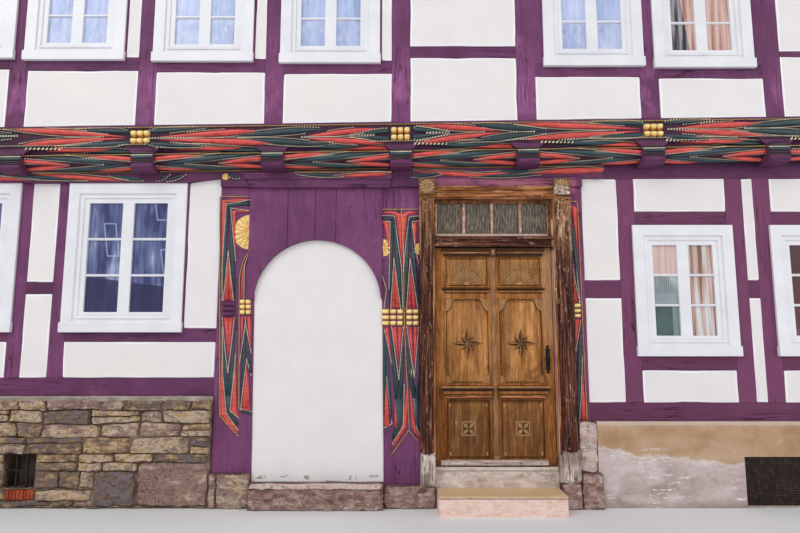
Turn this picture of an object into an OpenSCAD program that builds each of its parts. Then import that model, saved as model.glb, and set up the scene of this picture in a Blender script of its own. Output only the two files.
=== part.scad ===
// Half timbered house with a jettied upper storey, a blocked gateway and a carved door.
// Millimetres. X runs along the street front, the front faces -Y, Z is up from the ground.
// The origin is on the ground, at the middle of the roof's outline.

/* [House] */
// Depth of the upper storey, from the front face to the back face
house_depth = 7800; // [6500:100:9500]
// How far the upper storey stands out over the lower one
jetty = 200; // [120:10:350]
// Thickness of a framed wall
wall_t = 160; // [140:5:200]
// Thickness of the party walls
party_t = 240; // [200:10:300]
// Thickness of the stone plinth
plinth_t = 450; // [350:10:600]
// How far the plinth stands out in front of the timbers
plinth_out = 40; // [20:5:80]

/* [Levels] */
// Top of the rubble plinth on the left
plinth_left_h = 1010; // [900:10:1100]
// Top of the rendered plinth on the right
plinth_right_h = 778; // [700:2:860]
// Top of the ground floor and of the threshold
floor_z = 360; // [330:5:400]
// Underside of the floor beams
beam_z = 3190; // [3160:10:3400]
// Height of the floor and attic beams
beam_h = 170; // [150:5:200]
// How much the old jetty rises towards the right, in millimetres to the metre
jetty_rise = 14; // [0:1:20]
// How deep the floor beams are cogged over the plates
cog_h = 45; // [20:5:60]
// Width of the floor and attic beams
beam_w = 210; // [190:5:240]
// Height of the carved sill of the upper storey
carved_sill_h = 280; // [270:5:320]
// Underside of the top plate of the upper storey
upper_plate_z = 5800; // [5760:10:6000]
// Height of a plain plate
plate_h = 160; // [130:5:200]
// How far the carved plate stands out in front of the posts
plate_out = 45; // [20:5:60]

/* [Timbers] */
// Height of the ground sill beams
sill_h = 172; // [150:2:200]
// Width of the posts left of the gateway
left_post_w = 150; // [130:5:170]
// Width of the posts right of the door
right_post_w = 170; // [150:5:190]
// Width of the posts of the upper storey
upper_post_w = 184; // [160:4:200]
// How far the infill stays behind the face of the timbers
infill_back = 8; // [4:1:15]
// How far the infill stays behind the inner face of the timbers
infill_inner = 8; // [4:1:15]

/* [Gateway] */
// Middle of the gateway
gate_x = -770; // [-800:10:-740]
// Width of the blocked arch
arch_w = 1234; // [1150:2:1300]
// Height of the crown of the arch
arch_top = 2504; // [2300:4:2600]
// Width of the carved post left of the gateway
gate_post_left_w = 378; // [340:2:420]
// Width of the carved post between the gateway and the door
gate_post_right_w = 343; // [310:1:380]
// Thickness of the boards over the arch
board_t = 28; // [20:1:40]
// Height of the stone under the gateway
gate_stone_h = 228; // [200:2:260]

/* [Door] */
// Width of the door leaf
door_w = 1135; // [1000:5:1200]
// Height of the door leaf
door_h = 2062; // [1950:2:2100]
// Thickness of the door leaf
door_t = 45; // [40:1:60]
// Gap round the door leaf
door_gap = 7; // [6:0.5:9]
// Width of the left jamb
jamb_left_w = 142; // [120:2:170]
// Width of the right jamb
jamb_right_w = 187; // [160:1:200]
// Width of the carved post right of the door
door_post_w = 125; // [100:5:150]
// Height of the moulded bar over the door
transom_bar_h = 105; // [90:5:120]
// Height of the window over the door
transom_h = 385; // [350:5:400]

/* [Windows] */
// Width of the wide openings on the left
window_wide = 1080; // [1000:10:1150]
// Width of the narrow openings
window_narrow = 900; // [850:10:960]
// How far the casing laps over the timbers
casing_lap = 40; // [30:2:50]
// Width of the casing boards
casing_w = 105; // [90:5:120]
// Thickness of the casing boards
casing_t = 28; // [20:1:35]
// Width of the fixed frame inside the casing
frame_w = 42; // [36:1:50]
// Width of the sash members
sash_w = 48; // [42:1:55]
// Width of the two meeting sash stiles
meeting_w = 112; // [100:2:130]
// Thickness of the glass
glass_t = 6; // [4:1:10]

/* [Roof] */
// Pitch of the roof in degrees
pitch = 48; // [42:1:55]
// Depth of a rafter
rafter_h = 160; // [140:5:200]
// Width of a rafter
rafter_w = 140; // [120:5:160]
// Thickness of the battens and tiles
tile_t = 60; // [50:5:90]
// How far the tiles reach past the beam ends
eaves_out = 145; // [100:5:200]
// How far the tiles reach past the party walls
verge_out = 80; // [40:10:150]

/* [Hidden] */

purple = [0.36, 0.19, 0.33];
plaster = [0.88, 0.86, 0.84];
old_oak = [0.50, 0.33, 0.18];
weathered = [0.26, 0.16, 0.12];
white_paint = [0.93, 0.94, 0.96];
sandstone = [0.60, 0.52, 0.44];
iron = [0.12, 0.11, 0.11];
glass_blue = [0.55, 0.60, 0.75, 0.5];
tile_red = [0.55, 0.25, 0.17];

slack = 1;
joint = 5;

// Sum of the first n values of a list
function total(v, n) = n <= 0 ? 0 : v[n - 1] + total(v, n - 1);

// The lean of the jetty, and what a height becomes when it is measured square to it
jetty_lean = atan(jetty_rise / 1000);
square_to = cos(jetty_lean);

// How much higher the jetty is at x than in the middle of the house
function rise(x) = jetty_rise * x / 1000;

// The street front of the lower storey, measured outwards from the gateway
gate_left = gate_x - arch_w / 2 - gate_post_left_w;
arch_left = gate_x - arch_w / 2;
arch_right = gate_x + arch_w / 2;
jamb_left_x = arch_right + gate_post_right_w;
leaf_hole_x = jamb_left_x + jamb_left_w;
leaf_hole_w = door_w + 2 * door_gap;
jamb_right_x = leaf_hole_x + leaf_hole_w;
door_post_x = jamb_right_x + jamb_right_w;
door_right = door_post_x + door_post_w;

side_panel_w = 315;
stud_w = 60;
slim_panel_w = 257;
door_panel_w = 350;
narrow_panel_w = 106;
left_run = [side_panel_w, stud_w, window_wide, left_post_w, slim_panel_w, left_post_w, window_wide, left_post_w];
right_run = [door_panel_w, right_post_w, window_narrow, right_post_w, narrow_panel_w, right_post_w,
    window_narrow, right_post_w];
function left_x(i) = gate_left - total(left_run, i);
function right_x(i) = door_right + total(right_run, i);
half_w = -left_x(len(left_run));
right_corner_x = half_w - right_post_w;

// Planes of the walls
upper_front = -house_depth / 2;
ground_front = upper_front + jetty;
back = house_depth / 2;

// Levels of the lower storey
left_sill_top = plinth_left_h + sill_h;
right_sill_top = plinth_right_h + sill_h;
left_plate_z = beam_z - 115;
plate_cut = 10;
plate_rise = 39;
door_plate_z = beam_z - 153;
right_plate_z = beam_z - 65;
back_plate_z = beam_z - plate_h;
plate_joint_x = door_right + 209;
joint_rail_h = 117;
side_rail_h = 175;
low_rail_h = 132;

// Levels of the upper storey
sill_z = beam_z + beam_h;
upper_z = sill_z + carved_sill_h;
attic_z = upper_plate_z + plate_h;
attic_top = attic_z + beam_h;
keel_r = 72;
keel_stop = 85;
board_h = 30;
seat = 0.3;
seam = 0.02;
head_out = 20;
head_round = 45;

// Middles of the upper posts and beams: the carpenter's bays are uneven, and the last takes up what is left
bays = [1157, 1265, 1250, 1240, 1225, 1210, 1205];
n_bays = len(bays) + 1;
function post_x(i) = i > len(bays) ? half_w - beam_w / 2 : -half_w + beam_w / 2 + total(bays, i);
function bay_left(i) = post_x(i) + (i == 0 ? beam_w / 2 - beam_w + upper_post_w : upper_post_w / 2);
function bay_right(i) = post_x(i + 1) - (i == n_bays - 1 ? beam_w / 2 - beam_w + upper_post_w : upper_post_w / 2);

// The window rails of the upper storey run slightly downhill towards the right
rail_fall = 0.0127;
upper_rail_h = 140;
upper_window_h = 1190;
head_rail_h = 115;
function upper_rail_z(i) = upper_z + 480 - rail_fall * (bay_left(i) + bay_right(i)) / 2;

// A column of wall: [x from, x to, z from, z to, [[z from, z to, kind], ...]], with infill between the listed members
function windowed(x0, x1, z0, z1, rail_z, rail_h, head_z, head_h) =
    [x0, x1, z0, z1, [[rail_z, rail_z + rail_h, "rail"], [rail_z + rail_h, head_z, "window"],
        [head_z, head_z + head_h, "rail"]]];
left_window_rail = left_sill_top + 336;
left_head = left_plate_z - casing_lap;
right_window_rail = right_sill_top + 298;
right_rail_h = 175;
right_window_h = 1192;
right_head = right_window_rail + right_rail_h + right_window_h;
right_head_h = 180;
left_mid_rail = left_sill_top + 797;
right_mid_rail = right_sill_top + 988;
ground_columns = [
    [left_x(3), left_x(0), left_sill_top, left_window_rail + low_rail_h,
        [[left_window_rail, left_window_rail + low_rail_h, "rail"]]],
    [left_x(1), left_x(0), left_window_rail + low_rail_h, left_plate_z, []],
    [left_x(3), left_x(2), left_window_rail + low_rail_h, left_plate_z,
        [[left_window_rail + low_rail_h, left_head, "window"], [left_head, left_plate_z, "rail"]]],
    [left_x(5), left_x(4), left_sill_top, left_plate_z, [[left_mid_rail, left_mid_rail + joint_rail_h, "rail"]]],
    windowed(left_x(7), left_x(6), left_sill_top, left_plate_z, left_window_rail, low_rail_h, left_head, casing_lap),
    [door_right, plate_joint_x, right_sill_top, right_plate_z,
        [[right_mid_rail, right_mid_rail + side_rail_h, "rail"]]],
    [plate_joint_x, right_x(1), right_sill_top, right_plate_z,
        [[right_mid_rail, right_mid_rail + side_rail_h, "rail"]]],
    windowed(right_x(2), right_x(3), right_sill_top, right_plate_z, right_window_rail, right_rail_h,
        right_head, right_head_h),
    [right_x(4), right_x(5), right_sill_top, right_plate_z, [[right_mid_rail, right_mid_rail + side_rail_h, "rail"]]],
    windowed(right_x(6), right_x(7), right_sill_top, right_plate_z, right_window_rail, right_rail_h,
        right_head, right_head_h),
    [right_x(8), right_corner_x, right_sill_top, right_plate_z,
        [[right_mid_rail, right_mid_rail + side_rail_h, "rail"]]],
];

// Where the window of an upper bay starts: against the left post or against the right one
window_bays = [0, 1, 2, 3, 5, 6];
left_set = [1, 2, 3, 6];
slim_stud_bays = [1, 2, 3];
function has(v, i) = len([for (k = v) if (k == i) k]) > 0;
function window_x(i) = has(left_set, i) ? bay_left(i) : bay_right(i) - window_narrow;
function window_z(i) = upper_rail_z(i) + upper_rail_h;
function head_z(i) = window_z(i) + upper_window_h;
closed_rail_z = [4292, 4302];
closed_rail_h = [123, 63];
high_rail_z = 5100;
high_rail_h = 120;
upper_columns = concat(
    [for (i = window_bays) [bay_left(i), bay_right(i), upper_z, window_z(i), [[upper_rail_z(i), window_z(i), "rail"]]]],
    [for (i = window_bays) [window_x(i), window_x(i) + window_narrow, window_z(i), head_z(i),
        [[window_z(i), head_z(i), "window"]]]],
    [for (i = window_bays) [bay_left(i), bay_right(i), head_z(i), upper_plate_z,
        [[head_z(i), head_z(i) + head_rail_h, "rail"]]]],
    [for (i = slim_stud_bays) [window_x(i) + window_narrow + stud_w, bay_right(i), window_z(i), head_z(i), []]],
    [for (k = [0, 1]) [bay_left(4 + 3 * k), bay_right(4 + 3 * k), upper_z, upper_plate_z,
        [[closed_rail_z[k], closed_rail_z[k] + closed_rail_h[k], "rail"],
         [high_rail_z, high_rail_z + high_rail_h, "rail"]]]]);
// Studs that fill the rest of a window bay: [x from, x to, bay]
upper_studs = [[bay_left(0), window_x(0), 0],
    for (i = slim_stud_bays) [window_x(i) + window_narrow, window_x(i) + window_narrow + stud_w, i],
    [bay_left(5), window_x(5), 5],
    [window_x(6) + window_narrow, bay_right(6), 6]];

// The back repeats the storeys plainly, with its windows from post to post
back_window_bays = [0, 2, 5, 7];
back_sill_top = plinth_right_h + sill_h;
back_upper_z = sill_z + plate_h;
back_mid_rail = back_sill_top + 900;
back_closed_bays = [1, 3, 4, 6];
function back_column(i, z0, z1, rail_z, head_z) = [bay_left(i), bay_right(i), z0, z1,
    [[rail_z, rail_z + upper_rail_h, "rail"],
     [rail_z + upper_rail_h, head_z, "window"],
     [head_z, head_z + head_rail_h, "rail"]]];
back_columns = concat(
    [for (i = back_window_bays) back_column(i, back_sill_top, back_plate_z, right_window_rail, right_head)],
    [for (i = back_window_bays) back_column(i, back_upper_z, upper_plate_z, upper_z + 480,
        upper_z + 480 + upper_rail_h + upper_window_h)],
    [for (i = back_closed_bays) [bay_left(i), bay_right(i), back_sill_top, back_plate_z,
        [[back_mid_rail, back_mid_rail + upper_rail_h, "rail"]]]],
    [for (i = back_closed_bays) [bay_left(i), bay_right(i), back_upper_z, upper_plate_z,
        [[high_rail_z - 500, high_rail_z - 500 + upper_rail_h, "rail"]]]]);

// The roof
foot_y = house_depth / 2 - 60;
foot_out = foot_y + rafter_h / sin(pitch);
eaves_y = foot_out + eaves_out;
ridge_z = attic_top + foot_out * tan(pitch);

// Cellar openings: [x from, x to, z from, z to]
cellar_left = [-3676, -3380, 179, 485];
cellar_right = [3203, 3790, 18, 458];
cellar_depth = 260;

// Stones under the posts: [x from, x to, z from, z to, how far out]
block_out = 60;
sill_stone_out = 130;
rock_h = 230;
rock_right_h = 312;
post_foot_z = 305;
right_foot_z = 200;
tall_stone_w = 165;
stones = [
    [gate_left, gate_left + 65, 0, post_foot_z, block_out],
    [gate_left + 65 + joint, arch_left - joint, 0, post_foot_z, block_out],
    [arch_left, arch_right, 0, gate_stone_h, sill_stone_out],
    [arch_right + joint, leaf_hole_x - joint, 0, right_foot_z, block_out],
    [jamb_right_x + joint, door_post_x, 0, rock_h, 90],
    [door_post_x + joint, door_post_x + 200, 0, rock_right_h, 90],
    [door_post_x + joint, door_post_x + joint + tall_stone_w, rock_right_h + joint, plinth_right_h, plinth_out]];
right_plinth_x = door_post_x + 2 * joint + tall_stone_w;

// The door
leaf_z = floor_z + door_gap + 2;
leaf_x = leaf_hole_x + door_gap;
leaf_y = ground_front + 15;
leaf_back = leaf_y + door_t;
bar_z = leaf_z + door_h + door_gap;
transom_z = bar_z + transom_bar_h;
head_h = 130;
head_z1 = door_plate_z - head_h;
jamb_out = 70;
rosette_w = 152;
rosette_h = 155;
rosette_t = 40;
step_inset = 10;
step_h = 177;
step_d = 320;
threshold_out = 20;
hinge_r = 9;
door_stile = 98;
door_muntin = 94;
door_panels = [[56, 606], [749, 1566], [1683, 1977]];
door_sunk = 10;
door_field = 32;
hinge_z = [leaf_z + 260, leaf_z + door_h - 340];
knuckle_h = 60;
strap_t = 5;
strap_w = 260;
post_out = 10;
plank_h = 70;
board_lap = 89;
board_end = 20;
post_lean = 33;
left_post_lean = 36;
arch_shift = 30;
board_gap = 2;
board_widths = [288, 556, 760];
handle_up = 984;
handle_in = 58;

module block(x, y, z) {
    translate([x[0], y[0], z[0]]) cube([x[1] - x[0], y[1] - y[0], z[1] - z[0]]);
}

// A timber or panel whose foot, top or both follow the rise of the jetty
module member(x, y, z, foot = 0, top = 0) {
    along_y(y) polygon([[x[0], z[0] + foot * rise(x[0])], [x[1], z[0] + foot * rise(x[1])],
        [x[1], z[1] + top * rise(x[1])], [x[0], z[1] + top * rise(x[0])]]);
}

// The leaning frame of the jetty: its level zero is the underside of the carved sill
module on_jetty() {
    translate([0, 0, sill_z]) rotate([0, -jetty_lean, 0]) children();
}

// A round bar along X
module bar_x(x, y, z, r) {
    translate([x[0], y, z]) rotate([0, 90, 0]) cylinder(h = x[1] - x[0], r = r, $fn = 48);
}

// An outline in Y and Z, drawn out along X
module along_x(x) {
    translate([x[0], 0, 0]) rotate([90, 0, 90]) linear_extrude(x[1] - x[0]) children();
}

// An outline in X and Z, drawn out along Y
module along_y(y) {
    translate([0, y[1], 0]) rotate([90, 0, 0]) linear_extrude(y[1] - y[0]) children();
}

// Rails or infill of a list of wall columns whose outer face is at y = face
module column_rails(columns, face) {
    for (c = columns, m = c[4]) {
        if (m[2] == "rail") block([c[0], c[1]], [face, face + wall_t], [m[0], m[1]]);
    }
}

module column_infill(columns, face) {
    for (c = columns) {
        stops = concat([c[2]], [for (m = c[4]) each [m[0], m[1]]], [c[3]]);
        for (k = [0 : 2 : len(stops) - 1]) {
            if (stops[k + 1] - stops[k] > slack)
                member([c[0], c[1]], [face + infill_back, face + wall_t - infill_inner], [stops[k], stops[k + 1]],
                    foot = stops[k] == upper_z || stops[k] == back_upper_z ? 1 : 0);
        }
    }
}

// A casement window in an opening of a wall whose outer face is at y = 0, facing -Y
module window_frame(x, z) {
    out = casing_lap;
    inner = casing_w - out;
    sash = inner + frame_w;
    pane = sash + sash_w;
    mid = (x[0] + x[1]) / 2;
    sill_out = casing_t + 16;
    sill_board_h = casing_w - 10;
    difference() {
        union() {
            block([x[0] - out, x[1] + out], [-casing_t, 0], [z[0] - out, z[1] + out]);
            block([x[0] - out - 8, x[1] + out + 8], [-sill_out, 0], [z[0] - out, z[0] - out + sill_board_h]);
            block(x, [0, 80], z);
        }
        block([x[0] + inner, x[1] - inner], [-sill_out - 1, -10], [z[0] + inner, z[1] - inner]);
        block([x[0] + sash, x[1] - sash], [-sill_out - 1, 4], [z[0] + sash, z[1] - sash]);
        for (s = [[x[0] + pane, mid - meeting_w / 2], [mid + meeting_w / 2, x[1] - pane]])
            block(s, [-sill_out - 1, 81], [z[0] + pane, z[1] - pane]);
    }
}

module window_glass(x, z) {
    pane = casing_w - casing_lap + frame_w + sash_w;
    mid = (x[0] + x[1]) / 2;
    for (s = [[x[0] + pane, mid - meeting_w / 2], [mid + meeting_w / 2, x[1] - pane]])
        block(s, [30, 30 + glass_t], [z[0] + pane, z[1] - pane]);
}

module each_window(columns) {
    for (c = columns, m = c[4]) {
        if (m[2] == "window") {
            $wx = [c[0], c[1]];
            $wz = [m[0], m[1]];
            children();
        }
    }
}

module plinth_front_left() color(sandstone) difference() {
    block([-half_w, gate_left - joint], [ground_front - plinth_out, ground_front - plinth_out + plinth_t],
        [0, plinth_left_h]);
    block([cellar_left[0], cellar_left[1]], [ground_front - plinth_out - 1, ground_front - plinth_out + cellar_depth],
        [cellar_left[2], cellar_left[3]]);
}

module plinth_front_right() color(sandstone) difference() {
    block([right_plinth_x, half_w], [ground_front - plinth_out, ground_front - plinth_out + plinth_t],
        [0, plinth_right_h]);
    block([right_plinth_x - 1, door_post_x + 200 + joint],
        [ground_front - plinth_out - 1, ground_front - plinth_out + plinth_t + 1], [-1, rock_right_h + joint]);
    block([cellar_right[0], cellar_right[1]],
        [ground_front - plinth_out - 1, ground_front - plinth_out + cellar_depth], [cellar_right[2], cellar_right[3]]);
}

module plinth_sides() color(sandstone) {
    front = ground_front - plinth_out + plinth_t;
    block([-half_w, -half_w + plinth_t], [front, back + plinth_out - plinth_t], [0, plinth_left_h]);
    block([half_w - plinth_t, half_w], [front, back + plinth_out - plinth_t], [0, plinth_right_h]);
}

module plinth_back() color(sandstone)
    block([-half_w, half_w], [back + plinth_out - plinth_t, back + plinth_out], [0, plinth_right_h]);

module footing_stones() color(sandstone)
    for (s = stones) block([s[0], s[1]], [ground_front - s[4], ground_front - plinth_out + plinth_t], [s[2], s[3]]);

module threshold_stone() color(sandstone)
    block([leaf_hole_x, jamb_right_x], [ground_front - threshold_out, ground_front - plinth_out + plinth_t],
        [0, floor_z]);

module door_step() color(sandstone)
    block([leaf_hole_x + step_inset, jamb_right_x - step_inset],
        [ground_front - threshold_out - step_d, ground_front - threshold_out], [0, step_h]);

module cellar_bars() color(iron) {
    y = ground_front - plinth_out + 30;
    bar = 16;
    w = cellar_left[1] - cellar_left[0];
    mid = (cellar_left[2] + cellar_left[3]) / 2;
    block([cellar_left[0], cellar_left[1]], [y, y + bar], [mid - bar / 2, mid + bar / 2]);
    for (i = [1 : 2])
        block([cellar_left[0] + i * w / 3 - bar / 2, cellar_left[0] + i * w / 3 + bar / 2], [y, y + bar],
            [cellar_left[2], cellar_left[3]]);
}

module cellar_grille() color(iron) {
    y = ground_front - plinth_out + 25;
    rim = 25;
    difference() {
        block([cellar_right[0], cellar_right[1]], [y, y + 12], [cellar_right[2], cellar_right[3]]);
        block([cellar_right[0] + rim, cellar_right[1] - rim], [y - 1, y + 4],
            [cellar_right[2] + rim, cellar_right[3] - rim]);
    }
}

module ground_floor() color(old_oak)
    block([-half_w + plinth_t, half_w - plinth_t],
        [ground_front - plinth_out + plinth_t, back + plinth_out - plinth_t], [floor_z - 160, floor_z]);

module ground_sills() color(purple) {
    block([-half_w, gate_left], [ground_front, ground_front + wall_t], [plinth_left_h, left_sill_top]);
    block([door_right, half_w], [ground_front, ground_front + wall_t], [plinth_right_h, right_sill_top]);
}

module ground_posts() color(purple) {
    y = [ground_front, ground_front + wall_t];
    block([left_x(2), left_x(1)], y, [left_window_rail + low_rail_h, left_plate_z]);
    for (i = [3, 5, 7]) block([left_x(i + 1), left_x(i)], y, [left_sill_top, left_plate_z]);
    for (i = [1, 3, 5, 7]) block([right_x(i), right_x(i + 1)], y, [right_sill_top, right_plate_z]);
    block([right_corner_x, half_w], y, [right_sill_top, right_plate_z]);
}

module ground_rails() color(purple) column_rails(ground_columns, ground_front);

module ground_infill() color(plaster) {
    column_infill(ground_columns, ground_front);
    along_y([ground_front + infill_back, ground_front + wall_t - infill_inner])
        polygon([[left_x(1), left_plate_z], [gate_left, left_plate_z],
            [gate_left, left_plate_z + plate_cut + plate_rise - seam],
            [left_x(1), left_plate_z + plate_cut - seam]]);
}

module ground_plates() color(purple) {
    y = [ground_front - plate_out, ground_front + wall_t];
    top = beam_z + cog_h;
    difference() {
        member([-half_w, gate_left], y, [left_plate_z, top], top = 1);
        along_y([y[0] - 1, y[1] + 1]) polygon([[left_x(1), left_plate_z - 1], [gate_left + 1, left_plate_z - 1],
            [gate_left + 1, left_plate_z + plate_cut + plate_rise * (1 + 1 / side_panel_w)],
            [left_x(1), left_plate_z + plate_cut]]);
    }
    member([gate_left, door_right], y, [door_plate_z, top], top = 1);
    member([door_right, plate_joint_x], y, [right_plate_z, top], top = 1);
    member([plate_joint_x, half_w], [ground_front, ground_front + wall_t], [right_plate_z, top], top = 1);
    member([-half_w, half_w], [back - wall_t, back], [back_plate_z, top], top = 1);
}

// Edge of the right gate post, which leans into the gateway
function lean(z) = max(0, z - post_foot_z) / (door_plate_z - post_foot_z);
function gate_side(z) = arch_left - left_post_lean * lean(z);
function gate_edge(z) = arch_right - post_lean * lean(z);

module gate_posts() color(purple) {
    y = [ground_front - post_out, ground_front + wall_t];
    along_y(y) polygon([[gate_left, post_foot_z], [arch_left, post_foot_z],
        [gate_side(door_plate_z), door_plate_z], [gate_left, door_plate_z]]);
    along_y(y) polygon([[arch_right, right_foot_z], [jamb_left_x, right_foot_z], [jamb_left_x, door_plate_z],
        [gate_edge(door_plate_z), door_plate_z], [arch_right, post_foot_z]]);
    block([door_post_x, door_right], y, [plinth_right_h, door_plate_z]);
}

module gate_boards() color(purple) {
    y = [ground_front - post_out - board_t, ground_front - post_out];
    edges = [arch_left - board_lap, for (w = board_widths) arch_left + w, arch_right - board_end];
    difference() {
        for (i = [0 : len(edges) - 2])
            block([edges[i] + board_gap, edges[i + 1] - board_gap], y, [arch_top - arch_w / 2 + 40, door_plate_z]);
        translate([gate_x - arch_shift, 0, arch_top - arch_w / 2]) rotate([90, 0, 0])
            translate([0, 0, -y[1] - 1]) cylinder(h = board_t + 2, r = arch_w / 2, $fn = 96);
    }
}

module gate_lintel() color(purple) {
    x = [arch_left - 141, arch_right + 74];
    face = ground_front - plate_out;
    block(x, [face - 40, face], [door_plate_z + 63, door_plate_z + 63 + plank_h]);
    block([x[0] + 34, x[1] - 15], [face - 28, face], [door_plate_z - 18, door_plate_z + 63]);
}

module gate_infill() color(plaster)
    along_y([ground_front, ground_front + wall_t - infill_inner])
        polygon([[arch_left + seam, gate_stone_h], [arch_right - seam, gate_stone_h],
            [arch_right - seam, post_foot_z], [gate_edge(door_plate_z) - seam, door_plate_z],
            [gate_side(door_plate_z) + seam, door_plate_z], [arch_left + seam, post_foot_z]]);

module door_jambs() color(weathered) {
    y = [ground_front - jamb_out, leaf_back];
    block([jamb_left_x, leaf_hole_x], y, [right_foot_z, head_z1]);
    block([jamb_right_x, door_post_x], y, [rock_h, head_z1]);
}

module door_head() color(weathered) {
    block([jamb_left_x, door_post_x], [ground_front - jamb_out, leaf_back], [head_z1, door_plate_z]);
}

// Square blocks with a rosette at the upper corners of the door frame
module rosette_blocks() color(old_oak) {
    y = [ground_front - jamb_out - rosette_t, ground_front - jamb_out];
    for (x = [(jamb_left_x + leaf_hole_x) / 2, (jamb_right_x + door_post_x) / 2])
        block([x - rosette_w / 2, x + rosette_w / 2], y, [door_plate_z - 92, door_plate_z - 92 + rosette_h]);
}

module transom_bar() color(weathered)
    block([leaf_hole_x, jamb_right_x], [ground_front - 40, leaf_back], [bar_z, transom_z]);

module transom_window() color(weathered) {
    n = 4;
    rim = 30;
    bar = 24;
    w = leaf_hole_w - 2 * rim;
    light = (w - (n - 1) * bar) / n;
    difference() {
        block([leaf_hole_x, jamb_right_x], [ground_front + 10, leaf_back], [transom_z, head_z1]);
        for (i = [0 : n - 1])
            block([leaf_hole_x + rim + i * (light + bar), leaf_hole_x + rim + i * (light + bar) + light],
                [ground_front + 9, leaf_back + 1], [transom_z + rim, head_z1 - rim]);
    }
}

module transom_glass() color(glass_blue) {
    n = 4;
    rim = 30;
    bar = 24;
    w = leaf_hole_w - 2 * rim;
    light = (w - (n - 1) * bar) / n;
    for (i = [0 : n - 1])
        block([leaf_hole_x + rim + i * (light + bar), leaf_hole_x + rim + i * (light + bar) + light],
            [ground_front + 30, ground_front + 30 + glass_t], [transom_z + rim, head_z1 - rim]);
}

// A moulded shelf across one half of the door: x from and to, foot and top above the leaf's foot, and how far it stands out
module door_cornice(x, z, out) {
    h = z[1] - z[0];
    along_x(x) polygon([[leaf_y + 1, leaf_z + z[0]], [leaf_y - out * 0.25, leaf_z + z[0] + h * 0.1],
        [leaf_y - out * 0.3, leaf_z + z[0] + h * 0.4], [leaf_y - out * 0.7, leaf_z + z[0] + h * 0.6],
        [leaf_y - out, leaf_z + z[0] + h * 0.8], [leaf_y - out, leaf_z + z[1]], [leaf_y + 1, leaf_z + z[1]]]);
}

// A framed leaf in two columns of three sunk panels, with a round muntin, cornices and a weather bar
module door_leaf() color(old_oak) {
    middle = leaf_x + door_w / 2;
    columns = [[leaf_x + door_stile, middle - door_muntin / 2], [middle + door_muntin / 2, leaf_x + door_w - door_stile]];
    difference() {
        block([leaf_x, leaf_x + door_w], [leaf_y, leaf_back], [leaf_z, leaf_z + door_h]);
        for (x = columns, z = door_panels)
            block(x, [leaf_y - 1, leaf_y + door_sunk], [leaf_z + z[0], leaf_z + z[1]]);
    }
    for (x = columns) {
        for (z = door_panels)
            block([x[0] + door_field, x[1] - door_field], [leaf_y + door_sunk / 2, leaf_y + door_sunk + 1],
                [leaf_z + z[0] + door_field, leaf_z + z[1] - door_field]);
        door_cornice([x[0] - 6, x[1] + 6], [door_h - 79, door_h - 7], 30);
        door_cornice([x[0] + 4, x[1] - 4], [door_panels[1][1] + 57, door_panels[2][0] - 18], 10);
        door_cornice([x[0] - 4, x[1] + 4], [door_panels[0][1] + 15, door_panels[1][0] - 18], 34);
    }
    door_cornice([leaf_x + 30, leaf_x + door_w - 12], [3, 50], 32);
    translate([middle, leaf_y + 14, leaf_z + 60]) cylinder(h = door_h - 76, r = 30, $fn = 48);
}

module door_handle() color(iron) {
    x = leaf_x + door_w - handle_in;
    z = leaf_z + handle_up;
    block([x - 25, x + 25], [leaf_y - 5, leaf_y], [z - 135, z + 135]);
    for (s = [-75, 75]) block([x - 6, x + 6], [leaf_y - 42, leaf_y - 5], [z + s - 6, z + s + 6]);
    translate([x, leaf_y - 42, z - 95]) cylinder(h = 190, r = 9, $fn = 32);
}

// Half of a hinge: a barrel on the pivot line and a strap on the inner face
module hinge_half(x, z) {
    translate([leaf_hole_x, leaf_back + hinge_r + 1, z]) cylinder(h = knuckle_h, r = hinge_r, $fn = 32);
    block(x, [leaf_back, leaf_back + strap_t], [z, z + knuckle_h]);
}

module hinge_knuckles() color(iron)
    for (z = hinge_z) hinge_half([leaf_x - 1, leaf_x + strap_w], z);

module hinge_pintles() color(iron)
    for (z = hinge_z) hinge_half([leaf_hole_x - jamb_left_w / 2, leaf_hole_x - 4], z - knuckle_h - seat);

// The opening between two neighbouring beams
function beam_gap(i) = [post_x(i) + beam_w / 2, post_x(i + 1) - beam_w / 2];

// Beams that run through from the front to the back, cogged over the plates, with rounded heads
module floor_beams() color(purple) on_jetty() {
    foot = -(beam_h - seam) * square_to;
    cog = -(beam_h - cog_h - seam) * square_to;
    front_plate = [ground_front - plate_out, ground_front + wall_t];
    for (i = [0 : n_bays]) {
        x = [post_x(i) - beam_w / 2, post_x(i) + beam_w / 2];
        plate = post_x(i) > plate_joint_x ? [ground_front, ground_front + wall_t] : front_plate;
        along_x(x) difference() {
            translate([upper_front - head_out, foot]) square([back - upper_front + head_out, -foot]);
            translate([plate[0], foot - 1]) square([plate[1] - plate[0], cog - foot + 1]);
            translate([back - wall_t, foot - 1]) square([wall_t + 1, cog - foot + 1]);
            difference() {
                translate([upper_front - head_out - 1, foot - 1]) square(head_round + 1);
                translate([upper_front - head_out + head_round, foot + head_round]) circle(r = head_round, $fn = 48);
            }
        }
    }
}

// Rounded timbers between the beam heads, from the plate up to the carved sill
module filler_timbers() color(purple) on_jetty()
    for (i = [0 : n_bays - 1]) {
        r = (beam_h - cog_h) * square_to - seat;
        y = upper_front + head_out + r;
        along_x(beam_gap(i)) {
            intersection() {
                translate([y, 0]) circle(r = r, $fn = 64);
                translate([y - r - 1, -r - 1]) square([r + 1, r + 1]);
            }
            translate([y, -r]) square([ground_front + wall_t - y, r]);
        }
    }

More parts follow.
